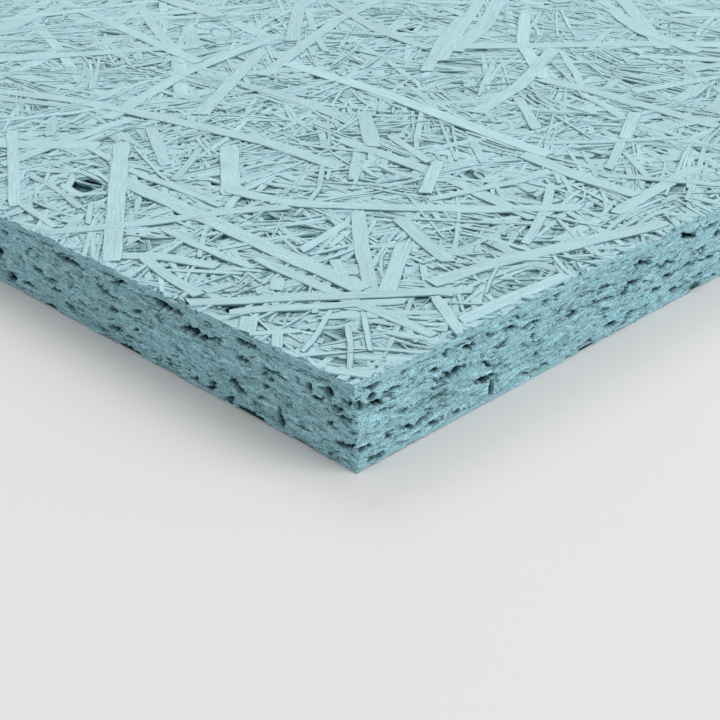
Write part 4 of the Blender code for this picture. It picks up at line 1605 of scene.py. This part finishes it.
class SawnFace:
    """Depths of one sawn edge behind the saw's cut, on a fine grid of (distance along, height)."""

    def __init__(self, length, rng):
        self.length = length
        self.shape = (int(length / EDGE_CELL_ALONG) + 1, int(THICKNESS / EDGE_CELL_UP) + 1)
        self.depth = np.full(self.shape, EDGE_GROUND)
        self.tone = np.zeros(self.shape)
        self.rng = rng

    def window(self, along, height, reach_along, reach_up):
        """The part of the grid around a place: its slices and the distances of its cells from the place."""
        a0 = max(int((along - reach_along) / EDGE_CELL_ALONG), 0)
        a1 = min(int((along + reach_along) / EDGE_CELL_ALONG) + 2, self.shape[0])
        z0 = max(int((height - reach_up) / EDGE_CELL_UP), 0)
        z1 = min(int((height + reach_up) / EDGE_CELL_UP) + 2, self.shape[1])
        if a0 >= a1 or z0 >= z1:
            return None
        da = (np.arange(a0, a1) * EDGE_CELL_ALONG - along)[:, None]
        dz = (np.arange(z0, z1) * EDGE_CELL_UP - height)[None, :]
        return (slice(a0, a1), slice(z0, z1)), da, dz

    def cut_ends(self, count):
        """The strands' cut ends: thin flat shapes, nearly level, each standing at its own depth."""
        rng = self.rng
        for _ in range(count):
            along, height = rng.uniform(0, self.length), rng.uniform(0, THICKNESS)
            half = math.exp(rng.uniform(*(math.log(value) for value in CUT_END_LENGTHS)))
            thick = rng.uniform(*CUT_END_HEIGHTS)
            tilt = math.radians(rng.normal(0, CUT_END_TILTS[0 if half > LONG_CUT_END else 1]))
            found = self.window(along, height, half + CUT_END_ROOM[0],
                                abs(half * math.sin(tilt)) + thick + CUT_END_ROOM[1])
            if found is None:
                continue
            cells, da, dz = found
            run, rise = along_and_across(da, dz, tilt)
            shape = np.abs(run / half) ** CUT_END_POWERS[0] + np.abs(rise / thick) ** CUT_END_POWERS[1]
            inside = shape < 1
            stands = rng.uniform(*CUT_END_DEPTHS) + CUT_END_ROUNDING * np.clip(shape, 0, 1) ** 2
            stands = stands + rng.normal(0, CUT_END_LEAN) * run / half
            self.depth[cells] = np.where(inside, stands, self.depth[cells])
            self.tone[cells] = np.where(inside, rng.normal(0, 1), self.tone[cells])

    def sway(self):
        """Bend the rows of cut ends up and down along the edge, as the strands under them push them."""
        noise = self.rng.normal(0, 1, [cells + 2 * ROW_MARGIN for cells in self.shape])
        bend = np.zeros(noise.shape)
        for reach_along, reach_up, size in ROW_BENDS:
            rows = np.fft.fftfreq(noise.shape[0])[:, None] * reach_along / EDGE_CELL_ALONG
            columns = np.fft.rfftfreq(noise.shape[1])[None, :] * reach_up / EDGE_CELL_UP
            bell = np.exp(-2 * math.pi ** 2 * (rows ** 2 + columns ** 2))
            layer = np.fft.irfft2(np.fft.rfft2(noise) * bell, s=noise.shape)
            bend += layer * size / layer.std()
        bend = bend[ROW_MARGIN:-ROW_MARGIN, ROW_MARGIN:-ROW_MARGIN]
        level = np.abs(np.arange(self.shape[1])[None, :] + bend / EDGE_CELL_UP)
        last = self.shape[1] - 1
        level = np.where(level > last, 2 * last - level, level).astype(int)
        rows = np.arange(self.shape[0])[:, None]
        self.depth = self.depth[rows, level]
        self.tone = self.tone[rows, level]

    def open_void(self, along, height, length, tall, tilt, deep):
        """One ragged void between the strands, pointed at both ends."""
        rng = self.rng
        tilt = math.radians(tilt)
        length = length * VOID_STRETCH
        reach_up = abs(length / 2 * math.sin(tilt)) + VOID_ROOM * tall + VOID_MARGIN
        found = self.window(along, height, length / 2 + VOID_ROOM, reach_up)
        if found is None:
            return
        cells, da, dz = found
        run, rise = along_and_across(da, dz, tilt)
        share = run / (length / 2)
        knots = np.linspace(-1.0, 1.0, max(int(length / VOID_KNOT), 3) + 1)
        bend, upper, lower = (np.interp(share, knots, rng.uniform(low, high, len(knots)))
                              for low, high in (VOID_BENDS, VOID_BULGES, VOID_BULGES))
        taper = np.clip(1 - np.abs(share) ** rng.uniform(*VOID_POINTS), 0, 1)
        rise = rise + bend * tall
        half = VOID_SWELL * tall / 2 * taper * np.where(rise > 0, upper, lower)
        if height < tall / 2 + NOTCH_BELOW:
            rise, taper = np.maximum(rise, 0), taper ** 0.5
        elif height > THICKNESS - tall / 2 - NOTCH_BELOW:
            rise = np.minimum(rise, 0)
        wall = np.clip((half - np.abs(rise)) / VOID_WALL + 0.5, 0, 1) * (taper > VOID_TIP)
        floor = deep * np.clip(half / (VOID_THIN * tall), VOID_THIN, 1)
        self.depth[cells] = np.maximum(self.depth[cells], self.depth[cells] * (1 - wall) + floor * wall)

    def random_voids(self, count, start):
        """Voids at random beyond a distance from the near corner."""
        rng = self.rng
        least, growth, power = RANDOM_VOID_LENGTHS
        heights, height_growth, height_power = RANDOM_VOID_HEIGHTS
        low, high = RANDOM_VOID_ROOM
        for _ in range(count):
            along = rng.uniform(start, self.length)
            length = least + growth * rng.random() ** power
            tall = rng.uniform(*heights) + height_growth * rng.random() ** height_power
            self.open_void(along, rng.uniform(low, THICKNESS - high), length, tall,
                           rng.normal(0, RANDOM_VOID_TILT), rng.uniform(*RANDOM_VOID_DEPTHS))

    def specks(self, count):
        """Pinholes and nicks all over the edge."""
        rng = self.rng
        low, high = SPECK_ROOM
        for _ in range(count):
            self.open_void(rng.uniform(0, self.length), rng.uniform(low, THICKNESS - high),
                           rng.uniform(*SPECK_LENGTHS), rng.uniform(*SPECK_HEIGHTS),
                           rng.normal(0, SPECK_TILT), rng.uniform(*SPECK_DEPTHS))

    def at(self, field, along, height):
        """A field's value at some places, between the grid's cells."""
        a = np.clip(along / EDGE_CELL_ALONG, 0, self.shape[0] - 1.001)
        z = np.clip(height / EDGE_CELL_UP, 0, self.shape[1] - 1.001)
        ia, iz = a.astype(int), z.astype(int)
        fa, fz = a - ia, z - iz
        low = field[ia, iz] * (1 - fa) + field[ia + 1, iz] * fa
        high = field[ia, iz + 1] * (1 - fa) + field[ia + 1, iz + 1] * fa
        return low * (1 - fz) + high * fz


def edge_stations(length, is_near):
    """Distances along an edge: close together by the near corner and wider apart beyond it."""
    stations = list(np.arange(0, FINE_REACH, FINE_STEP)) if is_near else [0.0]
    step = FINE_STEP if is_near else COARSE_STEP
    while stations[-1] + step < length - step / 2:
        step = min(step * STEP_GROWTH, COARSE_STEP)
        stations.append(stations[-1] + step)
    stations = np.array(stations)
    return np.append(stations[stations < length - COARSE_STEP * LAST_STEP], length)


def corner_inset(rng, notches):
    """How far one upright corner of the board is worn back along its height."""
    levels = np.linspace(0, THICKNESS, CORNER_LEVELS)
    wear = np.full(CORNER_LEVELS, CORNER_WEAR)
    for deep, reach in CORNER_CHIPS:
        wear += deep * np.abs(smooth(rng.normal(0, 1, CORNER_LEVELS), reach))
    for height, tall, deep in notches:
        wear += deep * np.exp(-((levels - height) / tall) ** 4)
    return levels, wear


def rim_heights(side, edge, stations):
    """Heights of the strands' tops just inside one edge, below the face, at some distances along it."""
    if side not in RIMS:
        raise RuntimeError("lay the strands of both faces before modelling the sawn edges")
    corner, along, outward, _ = edge
    mirror = -1.0 if side == "back" else 1.0
    highest = np.full(len(stations), -NOTHING_LAID)
    for inward in RIM_PROBES:
        points = corner[None, :2] + along[None, :2] * stations[:, None] - outward[None, :2] * inward
        points = np.clip(points, -HALF + RIM_MARGIN, HALF - RIM_MARGIN) * (mirror, 1.0)
        highest = np.maximum(highest, RIMS[side].height[RIMS[side].index(points)])
    return np.clip(highest - RIM_GAP, -RIM_DEEPEST[side], 0.0)


def edge_grid(columns, rows):
    """Add a flat grid of vertices in columns and rows, and return it with each vertex's column and row."""
    deselect_all()
    bpy.ops.mesh.primitive_grid_add(x_subdivisions=columns - 1, y_subdivisions=rows - 1, size=1.0)
    obj = bpy.context.object
    coords = coords_of(obj.data)
    column = np.rint((coords[:, 0] + 0.5) * (columns - 1)).astype(int)
    row = np.rint((coords[:, 1] + 0.5) * (rows - 1)).astype(int)
    return obj, column, row


def edge_object(name, edge, face, is_near, wears, slab, shade):
    """Model one sawn edge as a closed slab: a displaced grid in front, its rim drawn into the board."""
    corner, along, outward, length = edge
    stations = edge_stations(length, is_near)
    rows = NEAR_ROWS if is_near else FAR_ROWS
    obj, column, row = edge_grid(len(stations), rows)
    top = THICKNESS + rim_heights("front", edge, stations)
    bottom = -rim_heights("back", edge, stations)
    share = row / (rows - 1)
    run, height = stations[column], bottom[column] * (1 - share) + top[column] * share
    depth = face.at(face.depth, run, height)
    near = np.exp(-run / CORNER_REACH)
    far = np.exp(-(length - run) / CORNER_REACH)
    start, end = (np.interp(height, *wear) for wear in wears)
    depth = np.maximum(depth * (1 - near) * (1 - far), start * near + end * far)
    depth = np.where(column == 0, start, np.where(column == len(stations) - 1, end, depth))
    place_along = run + start * near - end * far
    # The lowest row stays at the lip, while its depth for the painted shade stays as deep as any void there,
    # so a dark slot is painted down to the floor
    lip = np.minimum(depth, np.maximum(BOTTOM_LIP, start * near + end * far))
    behind = np.where(row == 0, lip, depth)
    points = (corner[None, :] + along[None, :] * place_along[:, None] - outward[None, :] * behind[:, None]
              + UP[None, :] * height[:, None])
    set_coords(obj.data, points)
    add_values(obj.data, "depth", depth)
    add_values(obj.data, "tone", face.at(face.tone, run, height))
    obj.data.update()
    close_slab(obj, edge, slab)
    obj.name = name
    obj.data.name = name
    obj.data.materials.append(shade)
    finish_piece(obj, EDGE_SMOOTHING)


def close_slab(obj, edge, slab):
    """Draw the rim of a displaced grid into the board, mitred at both ends, and close it with one face."""
    corner, along, outward, length = edge
    bpy.context.view_layer.objects.active = obj
    edit_mode()
    bpy.ops.mesh.select_mode(type='EDGE')
    bpy.ops.mesh.select_all(action='DESELECT')
    bpy.ops.mesh.select_non_manifold(extend=False, use_wire=False, use_boundary=True, use_multi_face=False,
                                     use_non_contiguous=False, use_verts=False)
    for inward, drop in (RIM_STEP, (slab, SLAB_DROP)):
        bpy.ops.mesh.extrude_region_move()
        edit_mode(False)
        mesh = obj.data
        chosen = values_of(mesh.vertices, "select", bool)
        coords = coords_of(mesh) / MM
        local = coords[chosen] - corner
        share = np.clip((local @ along) / length, 0, 1)
        place = inward + (length - 2 * inward) * share
        level = np.clip(local[:, 2], drop, THICKNESS - drop)
        behind = np.maximum(-(local @ outward), inward)
        coords[chosen] = corner + along * place[:, None] - outward * behind[:, None] + UP * level[:, None]
        set_coords(mesh, coords)
        # The slab's inner faces all get one depth for their painted shade
        depths = mesh.attributes["depth"].data
        depth = values_of(depths, "value", np.float32)
        depth[chosen] = INNER_SHADE_DEPTH
        depths.foreach_set("value", depth)
        mesh.update()
        edit_mode()
    bpy.ops.mesh.edge_face_add()
    bpy.ops.mesh.select_all(action='SELECT')
    bpy.ops.mesh.normals_make_consistent(inside=False)
    edit_mode(False)


# Core mat

# Cuts of its cube, cells of its bumps, how far they are smoothed and their size, how far it reaches into
# the edges' slabs, where its upper and lower faces begin, and the angle that it is shaded smooth up to
CORE_CUTS = 24
CORE_CELLS = 128
CORE_BUMP_REACH = 1.2
CORE_BUMP_SIZE = 0.35
CORE_OVERLAP = 1.0
CORE_FACE = 0.49
CORE_SMOOTHING = math.radians(50)


def core_object(rng, sizes):
    """Model the mat between the two faces' strands."""
    depth = sizes.core_depth / MM
    inner = sizes.edge_slab / MM - CORE_OVERLAP
    deselect_all()
    bpy.ops.mesh.primitive_cube_add(size=1.0)
    core = bpy.context.object
    edit_mode()
    bpy.ops.mesh.select_all(action='SELECT')
    bpy.ops.mesh.subdivide(number_cuts=CORE_CUTS)
    edit_mode(False)
    coords = coords_of(core.data)
    bumps = smooth_field(rng.normal(0, 1, (CORE_CELLS, CORE_CELLS)), CORE_BUMP_REACH)
    bumps *= CORE_BUMP_SIZE / bumps.std()
    plan = coords[:, :2] * 2 * (HALF - inner)
    last = CORE_CELLS - 1
    cell = np.clip(((coords[:, :2] + 0.5) * last).astype(int), 0, last)
    bump = bumps[cell[:, 0], cell[:, 1]]
    face = np.where(coords[:, 2] > 0, THICKNESS - depth + bump, depth - bump)
    wall = THICKNESS / 2 + coords[:, 2] * (THICKNESS - 2 * depth)
    height = np.where(np.abs(coords[:, 2]) < CORE_FACE, wall, face)
    set_coords(core.data, np.column_stack((plan, height)))
    core.data.update()
    core.name = "core_mat"
    core.data.name = "core_mat"
    return core


# Registering


def register_piece(obj):
    """Say what a piece rides on, and hide the board's solid that it stands for."""
    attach(obj, BODY)
    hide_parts(BOARD)


def finish_piece(obj, angle):
    """Shade a finished piece smooth up to an angle, and register it on the board."""
    make_active(obj)
    bpy.ops.object.shade_smooth_by_angle(angle=angle)
    register_piece(obj)


# The stage

FLOOR_SIDE = 8.0
LAMP_AIM = Vector((0.2, -0.2, 0.0))
LAMPS = (
    ("key", (2.6, 0.9, 1.8), 2.4, 57.0),
    ("fill", (-1.4, 0.8, 2.0), 1.4, 14.0),
)
SKY = (0.995, 0.995, 1.0, 1.0)
SKY_STRENGTH = 0.69
CAMERA_PITCH, CAMERA_YAW, CAMERA_ROLL = 27.99, -46.92, -1.81
CAMERA_SENSOR = 36.0
CAMERA_LENS = 67.6
CAMERA_NEAREST = 0.01
CAMERA_PLACE = Vector((0.5045, -0.4892, 0.1798))


def set_floor(colours):
    """A wide pale floor under the board."""
    deselect_all()
    bpy.ops.mesh.primitive_plane_add(size=FLOOR_SIDE, location=(0, 0, 0))
    floor = bpy.context.object
    floor.name = "floor"
    nodes = Nodes("floor")
    nodes.finish("floor", tuple(colours.floor))
    floor.data.materials.append(nodes.material)


def set_lamps():
    """A large soft lamp at the right, a weaker one beyond the board, and a pale sky."""
    scene = bpy.context.scene
    for name, place, size, power in LAMPS:
        data = bpy.data.lights.new(name, 'AREA')
        data.shape = 'DISK'
        data.size = size
        data.energy = power
        lamp = bpy.data.objects.new(name, data)
        lamp.location = place
        lamp.rotation_euler = (LAMP_AIM - Vector(place)).to_track_quat('-Z', 'Y').to_euler()
        scene.collection.objects.link(lamp)
    world = bpy.data.worlds.new("sky")
    world.use_nodes = True
    background = world.node_tree.nodes["Background"]
    background.inputs["Color"].default_value = SKY
    background.inputs["Strength"].default_value = SKY_STRENGTH
    scene.world = world


def set_camera():
    """The view over the near corner, fitted to the lines of the board's edges."""
    pitch, yaw, roll = (math.radians(angle) for angle in (CAMERA_PITCH, CAMERA_YAW, CAMERA_ROLL))
    forward = Vector((math.cos(pitch) * math.sin(yaw), math.cos(pitch) * math.cos(yaw), -math.sin(pitch)))
    level = Vector((math.cos(yaw), -math.sin(yaw), 0))
    upright = level.cross(forward)
    right = math.cos(roll) * level + math.sin(roll) * upright
    up = -math.sin(roll) * level + math.cos(roll) * upright
    data = bpy.data.cameras.new("view")
    data.sensor_width = CAMERA_SENSOR
    data.lens = CAMERA_LENS
    data.clip_start = CAMERA_NEAREST
    camera = bpy.data.objects.new("view", data)
    turned = Matrix((right, up, -forward)).transposed().to_4x4()
    camera.matrix_world = Matrix.Translation(CAMERA_PLACE) @ turned
    bpy.context.scene.collection.objects.link(camera)
    bpy.context.scene.camera = camera


# Operators

# Seeds of the random draws of each step
FACE_SEEDS = {"front": 11, "back": 12}
EDGE_SEED = 13
CORE_SEED = 14

EDGE_NAMES = ("edge_near_x", "edge_near_y", "edge_far_x", "edge_far_y")


def lay_face(context, side, order):
    """Lay, press, paint and register the strands of one face."""
    sizes, colours = context.scene.board_sizes, context.scene.board_colours
    rng = np.random.default_rng(FACE_SEEDS[side])
    MASTERS.update(strand_masters())
    for obj in face_objects(order(rng, MASTERS, sizes), side, rng):
        obj.data.materials.append(strand_paint(obj.name + "_paint", obj["map_side"], colours))
        register_piece(obj)
    return {'FINISHED'}


class WOODWOOL_OT_front_strands(bpy.types.Operator):
    """Lay the strands of the front face and press them flat"""

    bl_idname = "wood_wool.front_strands"
    bl_label = "Front strands"

    def execute(self, context):
        return lay_face(context, "front", front_order)


class WOODWOOL_OT_back_strands(bpy.types.Operator):
    """Lay the strands of the back face and press them flat"""

    bl_idname = "wood_wool.back_strands"
    bl_label = "Back strands"

    def execute(self, context):
        return lay_face(context, "back", back_order)


class WOODWOOL_OT_sawn_edges(bpy.types.Operator):
    """Model the four sawn edges with their cut ends and voids"""

    bl_idname = "wood_wool.sawn_edges"
    bl_label = "Sawn edges"

    def execute(self, context):
        sizes, colours = context.scene.board_sizes, context.scene.board_colours
        rng = np.random.default_rng(EDGE_SEED)
        wears = [corner_inset(rng, notches) for notches in (NEAR_NOTCHES, (), (), ())]
        shades = (edge_paint_and_shade("edge_paint_x", 0, colours), edge_paint_and_shade("edge_paint_y", 1, colours))
        corners = ((0, 1), (0, 2), (3, 2), (3, 1))
        for index, (name, edge, voids) in enumerate(zip(EDGE_NAMES, board_edges(), sawn_edge_voids())):
            length, is_near = edge[3], index < 2
            face = SawnFace(length, rng)
            face.cut_ends(int(length * CUT_ENDS_IN_MM))
            face.sway()
            for void in voids:
                face.open_void(*void, deep=rng.uniform(*VOID_DEPTHS))
            reach = NEAR_VOIDS_REACH if is_near else 0.0
            face.random_voids(int((length - reach) * RANDOM_VOIDS_IN_MM), reach)
            face.specks(int(length * SPECKS_IN_MM))
            ends = [wears[corner] for corner in corners[index]]
            edge_object(name, edge, face, is_near, ends, sizes.edge_slab / MM, shades[index % 2])
        return {'FINISHED'}


class WOODWOOL_OT_core_mat(bpy.types.Operator):
    """Model the mat between the two faces' strands"""

    bl_idname = "wood_wool.core_mat"
    bl_label = "Core mat"

    def execute(self, context):
        core = core_object(np.random.default_rng(CORE_SEED), context.scene.board_sizes)
        core.data.materials.append(core_paint(context.scene.board_colours))
        finish_piece(core, CORE_SMOOTHING)
        return {'FINISHED'}


class WOODWOOL_OT_stage(bpy.types.Operator):
    """Set the floor, the lamps, the sky and the camera"""

    bl_idname = "wood_wool.stage"
    bl_label = "Stage"

    def execute(self, context):
        set_floor(context.scene.board_colours)
        set_lamps()
        set_camera()
        context.scene.view_settings.view_transform = 'Standard'
        return {'FINISHED'}


STEPS = (
    "wood_wool.front_strands",
    "wood_wool.back_strands",
    "wood_wool.sawn_edges",
    "wood_wool.core_mat",
    "wood_wool.stage",
)


class VIEW3D_PT_wood_wool(bpy.types.Panel):
    """Lists the steps that build the board"""

    bl_label = "Wood wool board"
    bl_space_type = 'VIEW_3D'
    bl_region_type = 'UI'
    bl_category = "Wood wool"

    def draw(self, context):
        for step in STEPS:
            self.layout.operator(step)
        for group in (context.scene.board_sizes, context.scene.board_colours):
            for key in group.bl_rna.properties.keys():
                if key not in {"rna_type", "name"}:
                    self.layout.prop(group, key)


CLASSES = (
    BoardSizes,
    BoardColours,
    WOODWOOL_OT_front_strands,
    WOODWOOL_OT_back_strands,
    WOODWOOL_OT_sawn_edges,
    WOODWOOL_OT_core_mat,
    WOODWOOL_OT_stage,
    VIEW3D_PT_wood_wool,
)


def register():
    for cls in CLASSES:
        bpy.utils.register_class(cls)
    bpy.types.Scene.board_sizes = bpy.props.PointerProperty(type=BoardSizes)
    bpy.types.Scene.board_colours = bpy.props.PointerProperty(type=BoardColours)


def unregister():
    del bpy.types.Scene.board_colours
    del bpy.types.Scene.board_sizes
    for cls in reversed(CLASSES):
        bpy.utils.unregister_class(cls)


def main():
    """Build the board and its stage."""
    register()
    bpy.ops.wood_wool.front_strands()
    bpy.ops.wood_wool.back_strands()
    bpy.ops.wood_wool.sawn_edges()
    bpy.ops.wood_wool.core_mat()
    bpy.ops.wood_wool.stage()


if __name__ == "__main__":
    main()
